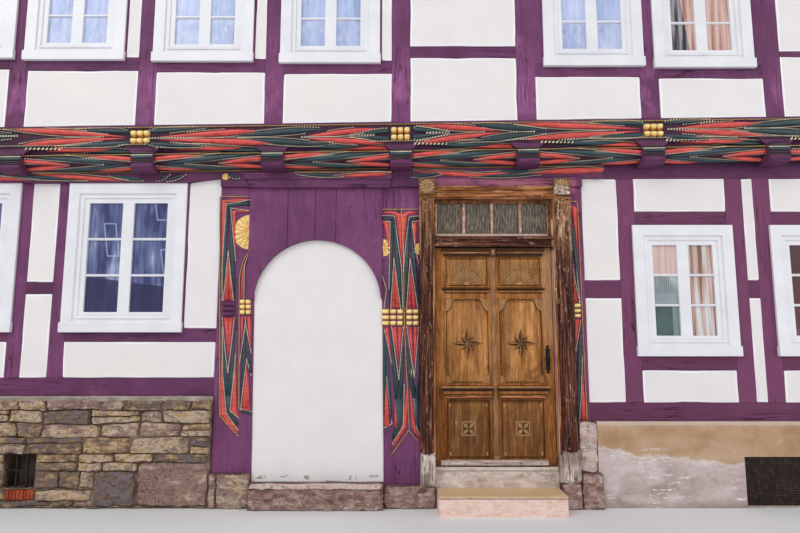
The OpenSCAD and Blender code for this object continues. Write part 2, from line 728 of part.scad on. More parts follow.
// The sill is hollowed along its lower edge, and left whole over the beam heads
module carved_sill() color(purple) on_jetty() difference() {
    block([-half_w, half_w], [upper_front, upper_front + wall_t], [0, (carved_sill_h - seam) * square_to]);
    for (i = [0 : n_bays - 1]) {
        x = beam_gap(i);
        intersection() {
            bar_x([x[0] - 40, x[1] + 40], upper_front, 0, keel_r);
            along_y([upper_front - 100, upper_front + 100])
                polygon([[x[0] - keel_stop / 3, -keel_r / 3], [x[1] + keel_stop / 3, -keel_r / 3],
                    [x[1] - keel_stop * 1.5, keel_r * 1.5], [x[0] + keel_stop * 1.5, keel_r * 1.5]]);
        }
    }
}

module upper_posts() color(purple) {
    y = [upper_front, upper_front + wall_t];
    for (i = [0 : n_bays]) {
        x0 = i == 0 ? -half_w : bay_right(i - 1);
        x1 = i == n_bays ? half_w : bay_left(i);
        member([x0, x1], y, [upper_z, upper_plate_z], foot = 1);
    }
    for (s = upper_studs) block([s[0], s[1]], y, [window_z(s[2]), head_z(s[2])]);
}

module upper_rails() color(purple) column_rails(upper_columns, upper_front);

module upper_infill() color(plaster) column_infill(upper_columns, upper_front);

module upper_plates() color(purple) {
    block([-half_w, half_w], [upper_front, upper_front + wall_t], [upper_plate_z, attic_z]);
    block([-half_w, half_w], [back - wall_t, back], [upper_plate_z, attic_z]);
}

module upper_floor() color(old_oak)
    on_jetty() block([-half_w + party_t + 1, half_w - party_t - 1], [upper_front + wall_t, back - wall_t], [0, board_h]);

module front_windows() color(white_paint) {
    each_window(ground_columns) translate([0, ground_front, 0]) window_frame($wx, $wz);
    each_window(upper_columns) translate([0, upper_front, 0]) window_frame($wx, $wz);
}

module front_glass() color(glass_blue) {
    each_window(ground_columns) translate([0, ground_front, 0]) window_glass($wx, $wz);
    each_window(upper_columns) translate([0, upper_front, 0]) window_glass($wx, $wz);
}

module back_posts() color(purple) {
    y = [back - wall_t, back];
    for (i = [0 : n_bays]) {
        x0 = i == 0 ? -half_w : bay_right(i - 1);
        x1 = i == n_bays ? half_w : bay_left(i);
        block([x0, x1], y, [back_sill_top, back_plate_z]);
        member([x0, x1], y, [back_upper_z, upper_plate_z], foot = 1);
    }
}

module back_rails() color(purple) column_rails(back_columns, back - wall_t);

module back_infill() color(plaster) column_infill(back_columns, back - wall_t);

module back_sills() color(purple) {
    block([-half_w, half_w], [back - wall_t, back], [plinth_right_h, back_sill_top]);
    on_jetty() block([-half_w, half_w], [back - wall_t, back], [0, (plate_h - seam) * square_to]);
}

module facing_back(x) translate([x[0] + x[1], back, 0]) rotate([0, 0, 180]) children();

module back_windows() color(white_paint)
    each_window(back_columns) facing_back($wx) window_frame($wx, $wz);

module back_glass() color(glass_blue)
    each_window(back_columns) facing_back($wx) window_glass($wx, $wz);

// Plain timbers between the beam ends at the eaves and at the back
module plain_fillers() color(purple)
    for (i = [0 : n_bays - 1]) {
        on_jetty() block(beam_gap(i), [back - wall_t, back], [-(beam_h - cog_h - seam) * square_to, 0]);
        block(beam_gap(i), [back - wall_t, back], [attic_z, attic_top]);
        block(beam_gap(i), [upper_front, upper_front + wall_t], [attic_z, attic_top]);
    }

module party_walls() color(plaster)
    for (side = [[-half_w, -half_w + party_t, plinth_left_h], [half_w - party_t, half_w, plinth_right_h]]) {
        x = [side[0], side[1]];
        gable = side[0] < 0 ? [x[0], x[0] + rafter_w] : [x[1] - rafter_w, x[1]];
        member(x, [ground_front + wall_t, back - wall_t], [side[2], beam_z], top = 1);
        member(x, [upper_front + wall_t, back - wall_t], [sill_z + seam, attic_z], foot = 1);
        along_x(gable)
            polygon([[seam - foot_y, attic_top], [foot_y - seam, attic_top], [0, attic_top + (foot_y - seam) * tan(pitch)]]);
    }

module attic_beams() color(purple)
    for (i = [0 : n_bays])
        block([post_x(i) - beam_w / 2, post_x(i) + beam_w / 2], [-foot_out + 5, foot_out - 5], [attic_z, attic_top]);

module attic_floor() color(old_oak)
    block([-half_w + party_t, half_w - party_t], [upper_front + wall_t, back - wall_t], [attic_top, attic_top + board_h]);

module rafters() color(old_oak)
    for (i = [0 : n_bays], s = [-1, 1]) {
        x0 = i == 0 ? -half_w : i == n_bays ? half_w - rafter_w : post_x(i) - rafter_w / 2;
        along_x([x0, x0 + rafter_w])
            polygon([[s * (foot_out - seam), attic_top], [s * foot_y, attic_top],
                [0.5 * s, attic_top + (foot_y - 0.5) * tan(pitch)], [0.5 * s, ridge_z - (0.5 + seam) * tan(pitch)]]);
    }

module roof_slope(s) color(tile_red) {
    rise = tile_t / cos(pitch);
    along_x([-half_w - verge_out, half_w + verge_out])
        polygon([[s * eaves_y, ridge_z - eaves_y * tan(pitch)], [s * 0.5, ridge_z - 0.5 * tan(pitch)],
            [s * 0.5, ridge_z - 0.5 * tan(pitch) + rise], [s * eaves_y, ridge_z - eaves_y * tan(pitch) + rise]]);
}

module roof_front() roof_slope(-1);

module roof_back() roof_slope(1);

module ridge_tiles() color(tile_red) {
    rise = tile_t / cos(pitch);
    r = 110;
    x = [-half_w - verge_out, half_w + verge_out];
    difference() {
        bar_x(x, 0, ridge_z + rise - 40, r);
        bar_x([x[0] - 1, x[1] + 1], 0, ridge_z + rise - 40, r - 18);
        along_x([x[0] - 1, x[1] + 1])
            polygon([[0, ridge_z + rise + seam], [400, ridge_z + rise + seam - 400 * tan(pitch)],
                [-400, ridge_z + rise + seam - 400 * tan(pitch)]]);
    }
}

plinth_front_left();
plinth_front_right();
plinth_sides();
plinth_back();
footing_stones();
threshold_stone();
door_step();
cellar_bars();
cellar_grille();
ground_floor();
ground_sills();
ground_posts();
ground_rails();
ground_infill();
ground_plates();
gate_posts();
gate_boards();
gate_lintel();
gate_infill();
door_jambs();
door_head();
rosette_blocks();
transom_bar();
transom_window();
transom_glass();
door_leaf();
door_handle();
hinge_knuckles();
hinge_pintles();
floor_beams();
filler_timbers();
carved_sill();
upper_posts();
upper_rails();
upper_infill();
upper_plates();
upper_floor();
front_windows();
front_glass();
back_posts();
back_rails();
back_infill();
back_sills();
back_windows();
back_glass();
plain_fillers();
party_walls();
attic_beams();
attic_floor();
rafters();
roof_front();
roof_back();
ridge_tiles();
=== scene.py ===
"""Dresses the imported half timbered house: painted and carved timber, plaster, stone, glass, tiles."""
import math
import random

import bmesh
import bpy
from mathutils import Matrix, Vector, noise


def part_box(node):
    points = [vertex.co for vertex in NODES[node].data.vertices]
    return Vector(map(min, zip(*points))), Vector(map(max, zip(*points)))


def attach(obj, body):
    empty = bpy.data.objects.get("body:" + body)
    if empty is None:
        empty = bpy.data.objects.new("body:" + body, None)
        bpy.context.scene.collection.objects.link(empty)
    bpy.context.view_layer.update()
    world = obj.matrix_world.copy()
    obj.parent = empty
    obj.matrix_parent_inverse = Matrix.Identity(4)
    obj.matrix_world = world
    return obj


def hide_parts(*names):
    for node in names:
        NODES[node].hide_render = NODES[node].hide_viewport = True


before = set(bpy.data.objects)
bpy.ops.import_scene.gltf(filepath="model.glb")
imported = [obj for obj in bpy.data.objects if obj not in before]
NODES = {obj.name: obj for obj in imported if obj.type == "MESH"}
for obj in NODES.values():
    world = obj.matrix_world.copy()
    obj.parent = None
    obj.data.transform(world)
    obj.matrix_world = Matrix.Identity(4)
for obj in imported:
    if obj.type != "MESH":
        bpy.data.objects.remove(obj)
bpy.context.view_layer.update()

bl_info = {
    "name": "Half Timbered House",
    "version": (1, 0, 0),
    "blender": (4, 5, 0),
    "location": "View3D > Sidebar > House",
    "description": "Dresses a jettied half timbered house with a carved sill and a carved door",
    "category": "Object",
}

HOUSE = "house"
DOOR = "front_door"


# Sizes that come from the frame


def low(node, axis):
    """Where the box of a CAD node starts along an axis."""
    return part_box(node)[0][axis]


def high(node, axis):
    """Where the box of a CAD node ends along an axis."""
    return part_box(node)[1][axis]


UPPER_FACE = low("carved_sill", 1)
PLATE_FACE = low("ground_plates", 1)
POST_FACE = low("gate_posts", 1)
HEAD_FACE = low("floor_beams", 1)
HALF_W = high("ground_plates", 0)
SLOPE = (high("carved_sill", 2) - low("carved_sill", 2) - 0.28) / (2 * HALF_W)
SILL_Z = (low("carved_sill", 2) + high("carved_sill", 2) - 0.28) / 2
BEAM_W = 0.21
KEEL_R = 0.072
FILLER_R = 0.1247
FILLER_FRONT = low("filler_timbers", 1)
BEAM_X = [-4.902, -3.745, -2.480, -1.230, 0.010, 1.235, 2.445, 3.650, 4.902]
UPPER_DRIP = -0.034
KNOT_X = [-2.507, 0.004, 2.448]


def size(name):
    """A size from the panel, free of the rounding that Blender stores it with."""
    return round(getattr(bpy.context.scene.house_sizes, name), 5)


def rise(x):
    """Height that the old jetty gains at x over the middle of the house."""
    return SLOPE * x


# Building meshes


class Shape:
    """Collects points and faces, then makes one mesh object of them."""

    def __init__(self):
        self.points, self.faces, self.slots, self.tones = [], [], [], []

    def add(self, points, faces, slot=0, tone=0.0):
        """Adds faces over new points, with one tone or with one for each point."""
        start = len(self.points)
        self.points += [tuple(p) for p in points]
        self.faces += [tuple(start + i for i in f) for f in faces]
        self.slots += [slot] * len(faces)
        self.tones += tone if isinstance(tone, list) else [tone] * len(points)

    def grid(self, rows, slot=0, tone=0.0, closed=False):
        """Joins rows of equally many points with quads."""
        width = len(rows[0])
        span = width if closed else width - 1
        faces = []
        for first in range(0, width * (len(rows) - 1), width):
            for c in range(span):
                after = (c + 1) % width
                faces.append((first + c, first + after, first + width + after, first + width + c))
        self.add([p for row in rows for p in row], faces, slot, tone)

    def build(self, name, material, slot, body=HOUSE, smooth=True, replaced=()):
        """The finished piece, in one material or in a list of them."""
        mesh = bpy.data.meshes.new(name)
        mesh.from_pydata(self.points, [], self.faces)
        for each in material if isinstance(material, list) else [material]:
            mesh.materials.append(each)
        mesh.polygons.foreach_set("material_index", self.slots)
        mesh.polygons.foreach_set("use_smooth", [smooth] * len(self.faces))
        tone = mesh.attributes.new("tone", "FLOAT", "POINT")
        tone.data.foreach_set("value", self.tones)
        clean_up(mesh)
        return place(name, mesh, body, replaced)


def clean_up(mesh):
    """Merges doubles and turns every face outwards."""
    work = bmesh.new()
    work.from_mesh(mesh)
    bmesh.ops.remove_doubles(work, verts=work.verts, dist=0.00005)
    bmesh.ops.recalc_face_normals(work, faces=work.faces)
    work.to_mesh(mesh)
    work.free()


def place(name, mesh, body, replaced):
    """Puts a mesh in the scene as a piece of a body, in place of CAD nodes."""
    piece = bpy.data.objects.new(name, mesh)
    bpy.context.scene.collection.objects.link(piece)
    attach(piece, body)
    if replaced:
        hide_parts(*replaced)
    return piece


BOX_FACES = [(0, 1, 3, 2), (4, 6, 7, 5), (0, 4, 5, 1), (2, 3, 7, 6), (0, 2, 6, 4), (1, 5, 7, 3)]


def add_box(shape, low_corner, high_corner, slot=0):
    """A plain bar, strip or pane between two corners."""
    x, y, z = zip(low_corner, high_corner)
    shape.add([(x[i], y[j], z[k]) for i in (0, 1) for j in (0, 1) for k in (0, 1)], BOX_FACES, slot)


def hewn(name, nodes, material, slot, bevel=0.005, wobble=0.003, step=0.12):
    """A copy of CAD nodes with softened arrises and the slight waviness of hand-hewn work."""
    mesh = bpy.data.meshes.new(name)
    work = bmesh.new()
    for node in nodes:
        work.from_mesh(NODES[node].data)
    bmesh.ops.remove_doubles(work, verts=work.verts, dist=0.0001)
    bmesh.ops.dissolve_limit(work, angle_limit=math.radians(2), verts=work.verts, edges=work.edges)
    sharp = [e for e in work.edges if len(e.link_faces) == 2 and e.calc_face_angle(0) > math.radians(30)]
    bmesh.ops.bevel(
        work, geom=sharp, offset=bevel, segments=2, profile=0.6, affect="EDGES", clamp_overlap=True
    )
    corner = [min(v.co[a] for v in work.verts) for a in range(3)]
    far = [max(v.co[a] for v in work.verts) for a in range(3)]
    for axis in (0, 2):
        normal = Vector((axis == 0, 0, axis == 2))
        level = corner[axis] + step
        while level < far[axis]:
            point = Vector((level if axis == 0 else 0, 0, level if axis == 2 else 0))
            bmesh.ops.bisect_plane(
                work, geom=work.verts[:] + work.edges[:] + work.faces[:], plane_co=point, plane_no=normal
            )
            level += step
    bmesh.ops.triangulate(work, faces=[f for f in work.faces if len(f.verts) > 4])
    for vert in work.verts:
        vert.co += waviness(vert.co, wobble)
    for face in work.faces:
        face.smooth = False
    work.to_mesh(mesh)
    work.free()
    tone = mesh.attributes.new("tone", "FLOAT", "POINT")
    tone.data.foreach_set("value", [0.0] * len(mesh.vertices))
    mesh.materials.append(material)
    return place(name, mesh, HOUSE, nodes)


def waviness(point, amount, scale=2.2):
    """The same small shift at the same place for every piece, so that seams stay closed."""
    broad, fine = noise.noise_vector(point * scale), noise.noise_vector(point * scale * 4.1)
    return broad * amount + fine * (amount * 0.35)


def ripple(*place_in_noise):
    """One value of smooth noise, the same for the same place."""
    return noise.noise(Vector(place_in_noise))


# Shader maths


class Socket:
    """A node socket whose sums and products add the nodes that work them out."""

    def __init__(self, tree, link):
        self.tree, self.link = tree, link

    def maths(self, operation, other=None, swap=False):
        """One step of arithmetic with a number or with another socket."""
        values = (other, self) if swap else (self, other)
        sockets = {i: value for i, value in enumerate(values) if value is not None}
        return self.tree.node("ShaderNodeMath", {"operation": operation}, sockets)

    def __add__(self, other):
        return self.maths("ADD", other)

    def __sub__(self, other):
        return self.maths("SUBTRACT", other)

    def __rsub__(self, other):
        return self.maths("SUBTRACT", other, swap=True)

    def __mul__(self, other):
        return self.maths("MULTIPLY", other)

    def __truediv__(self, other):
        return self.maths("DIVIDE", other)

    __radd__, __rmul__ = __add__, __mul__

    def clamp(self):
        """Held between 0 and 1."""
        return self.tree.node("ShaderNodeClamp", {}, {"Value": self})

    def step_up(self, start, end):
        """0 below start, 1 above end and smooth between."""
        return self.tree.node(
            "ShaderNodeMapRange",
            {"interpolation_type": "SMOOTHSTEP"},
            {"Value": self, "From Min": start, "From Max": end},
        )

    def between(self, start, risen, falling, end):
        """0 outside start and end, 1 from risen to falling."""
        return self.step_up(start, risen) * (1 - self.step_up(falling, end))

    def ramp(self, stops):
        """A colour for each value: stops are a place and a screen colour."""
        return self.tree.ramp(self, stops)


class Nodes:
    """A node tree that gets one node at a time, with its settings and the values or links of its sockets."""

    def __init__(self, tree):
        self.nodes, self.links = tree.nodes, tree.links

    def node(self, kind, settings, sockets, output=0):
        """Adds a node; a colour of whole numbers is one as on a screen."""
        node = self.nodes.new(kind)
        for key, value in settings.items():
            setattr(node, key, value)
        for key, value in sockets.items():
            self.feed(node.inputs[key], value)
        return Socket(self, node.outputs[output])

    def feed(self, target, value):
        """Links a socket to an input, or sets the input's value."""
        if isinstance(value, Socket):
            self.links.new(value.link, target)
        elif isinstance(value, (tuple, list)) and len(value) == 3 and target.type == "RGBA":
            whole = all(isinstance(c, int) for c in value)
            target.default_value = (*(srgb(*value) if whole else value), 1.0)
        else:
            target.default_value = value


class Finish(Nodes):
    """One material under construction."""

    def __init__(self, name):
        self.material = bpy.data.materials.new(name)
        self.material.use_nodes = True
        super().__init__(self.material.node_tree)
        self.shader = self.nodes["Principled BSDF"]
        self.place = self.node("ShaderNodeTexCoord", {}, {}, "Object")

    def ramp(self, value, stops):
        """A colour ramp driven by a value."""
        node = self.nodes.new("ShaderNodeValToRGB")
        self.links.new(value.link, node.inputs[0])
        points = node.color_ramp.elements
        while len(points) < len(stops):
            points.new(0.5)
        for point, (where, *colour) in zip(points, stops):
            point.position = where
            point.color = (*srgb(*colour), 1.0)
        return Socket(self, node.outputs[0])

    def noise(self, scale, detail=4.0, rough=0.55, stretch=(1, 1, 1), shift=(0, 0, 0), distortion=0.0):
        """Soft noise, stretched and shifted."""
        mapping = {"Vector": self.place, "Scale": stretch, "Location": shift}
        where = self.node("ShaderNodeMapping", {}, mapping)
        values = {"Vector": where, "Scale": scale, "Detail": detail, "Roughness": rough}
        return self.node("ShaderNodeTexNoise", {}, {**values, "Distortion": distortion})

    def cells(self, scale, stretch=(1, 1, 1), feature="F1", output="Distance"):
        """A pattern of cells, by what is wanted of them."""
        where = self.node("ShaderNodeMapping", {}, {"Vector": self.place, "Scale": stretch})
        values = {"Vector": where, "Scale": scale}
        return self.node("ShaderNodeTexVoronoi", {"feature": feature}, values, output)

    def axis(self, letter):
        """The place along X, Y or Z."""
        return self.node("ShaderNodeSeparateXYZ", {}, {"Vector": self.place}, letter)

    def attribute(self, name):
        """A value that the mesh carries."""
        return self.node("ShaderNodeAttribute", {"attribute_name": name}, {}, "Fac")

    def mix(self, factor, first, second):
        """Mixes two colours."""
        node = self.nodes.new("ShaderNodeMix")
        node.data_type = "RGBA"
        self.feed(node.inputs["Factor"], factor)
        self.feed(node.inputs[6], first)
        self.feed(node.inputs[7], second)
        return Socket(self, node.outputs[2])

    def bump(self, height, strength, distance):
        """Relief too fine for the mesh."""
        return self.node("ShaderNodeBump", {}, {"Height": height, "Strength": strength, "Distance": distance})

    def coat(self, mask, colour):
        """Lays a colour over the tint so far, where the mask says."""
        self.tint = self.mix(mask, self.tint, colour)

    def finish(self, roughness, normal=None, specular=0.5, metallic=0.0):
        """Feeds the shader with the tint and the rest, and gives the material."""
        given = {"Base Color": self.tint, "Roughness": roughness, "Specular IOR Level": specular}
        given["Metallic"] = metallic
        if normal:
            given["Normal"] = normal
        for key, value in given.items():
            self.feed(self.shader.inputs[key], value)
        return self.material


def streaked(grain, across):
    """How a pattern is stretched for grain that runs along X or Z."""
    return (0.5, across, across) if grain == "X" else (across, across, 0.5)


def shaded(colour, factor, lift=0.0):
    """A colour made darker or lighter, by one factor or by one for each channel."""
    factors = factor if isinstance(factor, tuple) else (factor,) * 3
    return tuple(min(1.0, c * k + lift) for c, k in zip(colour, factors))


def srgb(red, green, blue):
    """A screen colour of 0 to 255 as the linear colour that the shader wants."""
    shares = [c / 255 for c in (red, green, blue)]
    return tuple(c / 12.92 if c <= 0.04045 else ((c + 0.055) / 1.055) ** 2.4 for c in shares)


# Finishes


MADE = {}


def finish_once(maker):
    """Makes a material the first time it is asked for, and gives the same one after that."""

    def wrapped(*args):
        key = (maker.__name__, *args)
        if key not in MADE:
            MADE[key] = maker(*args)
        return MADE[key]

    return wrapped


def paint_over_oak(f, grain):
    """Dark purple paint over old oak: its colour and its relief, with grain, cracks and worn places."""
    along = streaked(grain, 9)
    level = {"X": 0.86, "Z": 1.14}[grain]
    base = shaded(bpy.context.scene.house_colours.timber, level)

    fibres = f.noise(6, 6, 0.65, along)
    clouds = f.noise(1.6, 5, 0.6)
    swells = f.noise(3.2, 2, 0.5, tuple(a ** 0.5 for a in along), (4, 0, 1), 0.8)
    cracks = f.noise(1.7, 4, 0.5, along, (3, 1, 2), 0.5)
    crack = 1 - (cracks - 0.5).maths("ABSOLUTE").step_up(0.002, 0.010)
    crack = crack * f.noise(1.5, 2, 0.5, (1, 1, 1), (9, 2, 4)).step_up(0.46, 0.56)
    pits = f.noise(44, 2, 0.5, tuple(a ** 0.3 for a in along), (5, 5, 2)).step_up(0.68, 0.72)
    up = f.axis("Z")
    splashed = up.between(3.68, 3.76, 3.95, 4.35) * f.noise(5, 4, 0.6, (1, 1, 0.6)).step_up(0.42, 0.62)
    across = f.axis("X")
    dried = across.between(0.15, 0.5, 1.70, 1.76) * up.between(2.95, 3.02, 3.10, 3.13)
    redder = across.step_up(1.72, 1.76) * (1 - up.step_up(3.12, 3.2))
    worn = f.noise(1.2, 5, 0.7, (1, 1, 1), (6, 2, 1)).step_up(0.54, 0.68) * fibres.step_up(0.3, 0.6)
    chips = f.noise(30, 3, 0.6, tuple(a ** 0.5 for a in along)).step_up(0.66, 0.72)
    chips = chips * clouds.step_up(0.48, 0.6)
    f.tint = f.mix(clouds.step_up(0.34, 0.66), shaded(base, 0.76), shaded(base, 1.18))
    f.coat(fibres.step_up(0.42, 0.72) * 0.35, shaded(base, 0.55))
    f.coat(swells.step_up(0.52, 0.74) * 0.3, shaded(base, (1.6, 1.7, 1.6)))
    f.coat(worn * 0.5, shaded(base, (2.1, 2.6, 2.1)))
    f.coat(splashed * fibres.step_up(0.36, 0.56) * 0.8, shaded(base, (2.0, 2.2, 2.0)))
    f.coat(dried * clouds.step_up(0.34, 0.54) * 0.85, shaded(base, (3.3, 3.5, 1.9)))
    f.coat(redder * 0.6, shaded(base, (1.10, 1.0, 0.82)))
    f.coat(crack * 0.8, shaded(base, 0.14))
    f.coat(pits * 0.6, shaded(base, 0.3))
    f.coat(chips * 0.4, shaded(base, 2.6, 0.03))
    return f.tint, fibres * 0.5 - crack * 1.1 + clouds * 0.5 + swells * 0.7, fibres


@finish_once
def painted_timber(grain="Z"):
    """Paint on the frame, with its grain along X or Z."""
    f = Finish("painted_timber_" + grain)
    f.tint, height, fibres = paint_over_oak(f, grain)
    return f.finish(fibres * 0.14 + 0.52, f.bump(height, 0.7, 0.009), specular=0.2)


@finish_once
def carved_ground(name, lowest, highest):
    """Paint on a carved timber, with painted shade in the cuts between two heights over the foot of the sill.
    """
    f = Finish(name)
    f.tint, height, fibres = paint_over_oak(f, "X")
    level = f.axis("Z") - f.axis("X") * SLOPE - SILL_Z
    inside = level.between(lowest, lowest + 0.012, highest - 0.012, highest)
    # Painted shade in the carved band, in the shadow colour
    f.coat(inside * 0.68, tuple(bpy.context.scene.house_colours.shadow))
    return f.finish(fibres * 0.14 + 0.52, f.bump(height, 0.7, 0.009), specular=0.2)


@finish_once
def carving_paint(kind):
    """Thick glossy paint on the carving, with a painted highlight where the tones of the mesh are high and
    painted shade where they are low, worn dull and dirty in places.
    """
    colours = bpy.context.scene.house_colours
    base = tuple(getattr(colours, kind))
    f = Finish("carving_" + kind)
    streaks = f.noise(7, 4, 0.6, (1.2, 8, 8))
    dirt = f.noise(34, 3, 0.6)
    faded = f.noise(2.4, 3, 0.6, (1, 1, 2))
    light = f.attribute("tone")
    deep = (0.50, 0.24, 0.09) if kind == "gold" else (0.30, 0.26, 0.30)
    dull = (0.86, 0.66, 0.46) if kind == "gold" else (0.66, 0.62, 0.66)
    f.tint = f.mix(streaks.step_up(0.3, 0.7), shaded(base, dull), shaded(base, 1.2, 0.01))
    f.coat(faded.step_up(0.52, 0.7) * 0.3, shaded(base, 1.35, 0.05))
    # Painted light from the tones: a highlight where they are high, and painted shade in the deep colour
    # where they are low
    f.coat(light.step_up(0.35, 1.0) * 0.35, shaded(base, 1.5, 0.03))
    f.coat((1 - light.step_up(-1.0, 0.0)) * 0.8, shaded(base, deep))
    f.coat(dirt.step_up(0.55, 0.70) * 0.4, shaded(base, 0.35))
    gloss = 0.16 if kind == "gold" else 0.34
    return f.finish(dirt * 0.2 + gloss, f.bump(streaks * 0.6 + dirt * 0.3, 0.35, 0.002), specular=0.45)


@finish_once
def plaster():
    """Off-white lime paint over a hand-floated coat, chipped to grey at the foot of the blocked gateway."""
    f = Finish("infill_plaster")
    base = tuple(bpy.context.scene.house_colours.plaster)
    floats = f.noise(3.5, 4, 0.5)
    sand = f.noise(160, 2, 0.5)
    stains = f.noise(1.1, 5, 0.6)
    warm = f.noise(0.9, 3, 0.5, (1, 1, 1), (5, 1, 8))
    f.tint = f.mix(floats.step_up(0.3, 0.7), shaded(base, 0.96), base)
    f.coat(stains.step_up(0.5, 0.8) * 0.4, shaded(base, (0.98, 0.90, 0.88)))
    f.coat(warm.step_up(0.5, 0.75) * 0.5, shaded(base, (1.02, 1.0, 0.93)))
    # Painted highlight: the pale rim along the rounded edge of each panel, from the tones that plaster_panel
    # gives
    f.coat(f.attribute("tone") * 0.9, (255, 254, 255))
    low_edge = 1 - f.axis("Z").step_up(0.262, 0.30)
    chipped = low_edge * f.noise(7, 4, 0.6, (1, 1, 2.4), (3, 0, 6)).step_up(0.56, 0.6)
    f.coat(chipped * 0.8, (120, 108, 104))
    return f.finish(0.86, f.bump(floats * 0.9 + sand * 0.12 - chipped * 0.4, 0.4, 0.012), specular=0.2)


@finish_once
def white_gloss():
    """White gloss paint on the windows."""
    f = Finish("white_paint")
    soft = f.noise(4, 2, 0.5)
    grime = f.noise(30, 4, 0.6)
    f.tint = f.mix(soft.step_up(0.3, 0.8), (228, 227, 231), (238, 237, 240))
    f.coat(grime.step_up(0.64, 0.8) * 0.12, (200, 196, 200))
    return f.finish(soft * 0.1 + 0.34, f.bump(soft * 0.5 + grime * 0.1, 0.06, 0.002))


@finish_once
def render_coat():
    """Plain lime render on the party walls."""
    f = Finish("party_render")
    clouds = f.noise(0.7, 5, 0.6)
    sand = f.noise(70, 3, 0.6)
    runs = f.noise(2.2, 4, 0.6, (3, 3, 0.35))
    f.tint = f.mix(clouds.step_up(0.3, 0.75), (196, 188, 174), (226, 219, 206))
    f.coat(runs.step_up(0.55, 0.8) * 0.35, (168, 158, 142))
    return f.finish(0.9, f.bump(sand * 0.5 + clouds * 0.5, 0.4, 0.01))


def grained(name, pattern, stops, roughness, strength=0.4, distance=0.003, specular=0.2):
    """Plain wood or rust, whose one pattern gives its colour and its relief."""
    f = Finish(name)
    grain = f.noise(*pattern)
    f.tint = grain.ramp(stops)
    return f.finish(roughness, f.bump(grain, strength, distance), specular)


@finish_once
def sawn_wood():
    """Bare sawn boards, beams and rafters inside."""
    stops = [(0.25, 112, 82, 52), (0.55, 158, 122, 82), (0.8, 186, 152, 108)]
    return grained("inner_timber", (5, 5, 0.6, (1, 9, 9)), stops, 0.75, 0.3, 0.004, 0.5)


@finish_once
def black_iron():
    """Forged iron, blackened and slightly rusty."""
    f = Finish("black_iron")
    pits = f.noise(140, 3, 0.6)
    rust = f.noise(24, 4, 0.6)
    f.tint = f.mix(rust.step_up(0.58, 0.75), (34, 32, 32), (84, 54, 38))
    return f.finish(rust * 0.3 + 0.4, f.bump(pits, 0.3, 0.001), metallic=0.6)


def mirrored_frame(f, x0, x1, z0, z1, thick=0.013):
    """The outline of a window across the street, as its painted reflection shows in a pane."""
    up = f.axis("Z")
    across = f.axis("X") + (up - 2.5) * 0.16

    def patch(grow_by):
        """A rectangle with soft edges, larger all round by grow_by."""
        sides = across.between(x0 - grow_by, x0 - grow_by + 0.004, x1 + grow_by, x1 + grow_by + 0.004)
        return sides * up.between(z0 - grow_by, z0 - grow_by + 0.004, z1 + grow_by, z1 + grow_by + 0.004)

    return (patch(thick) - patch(0.0)).clamp()


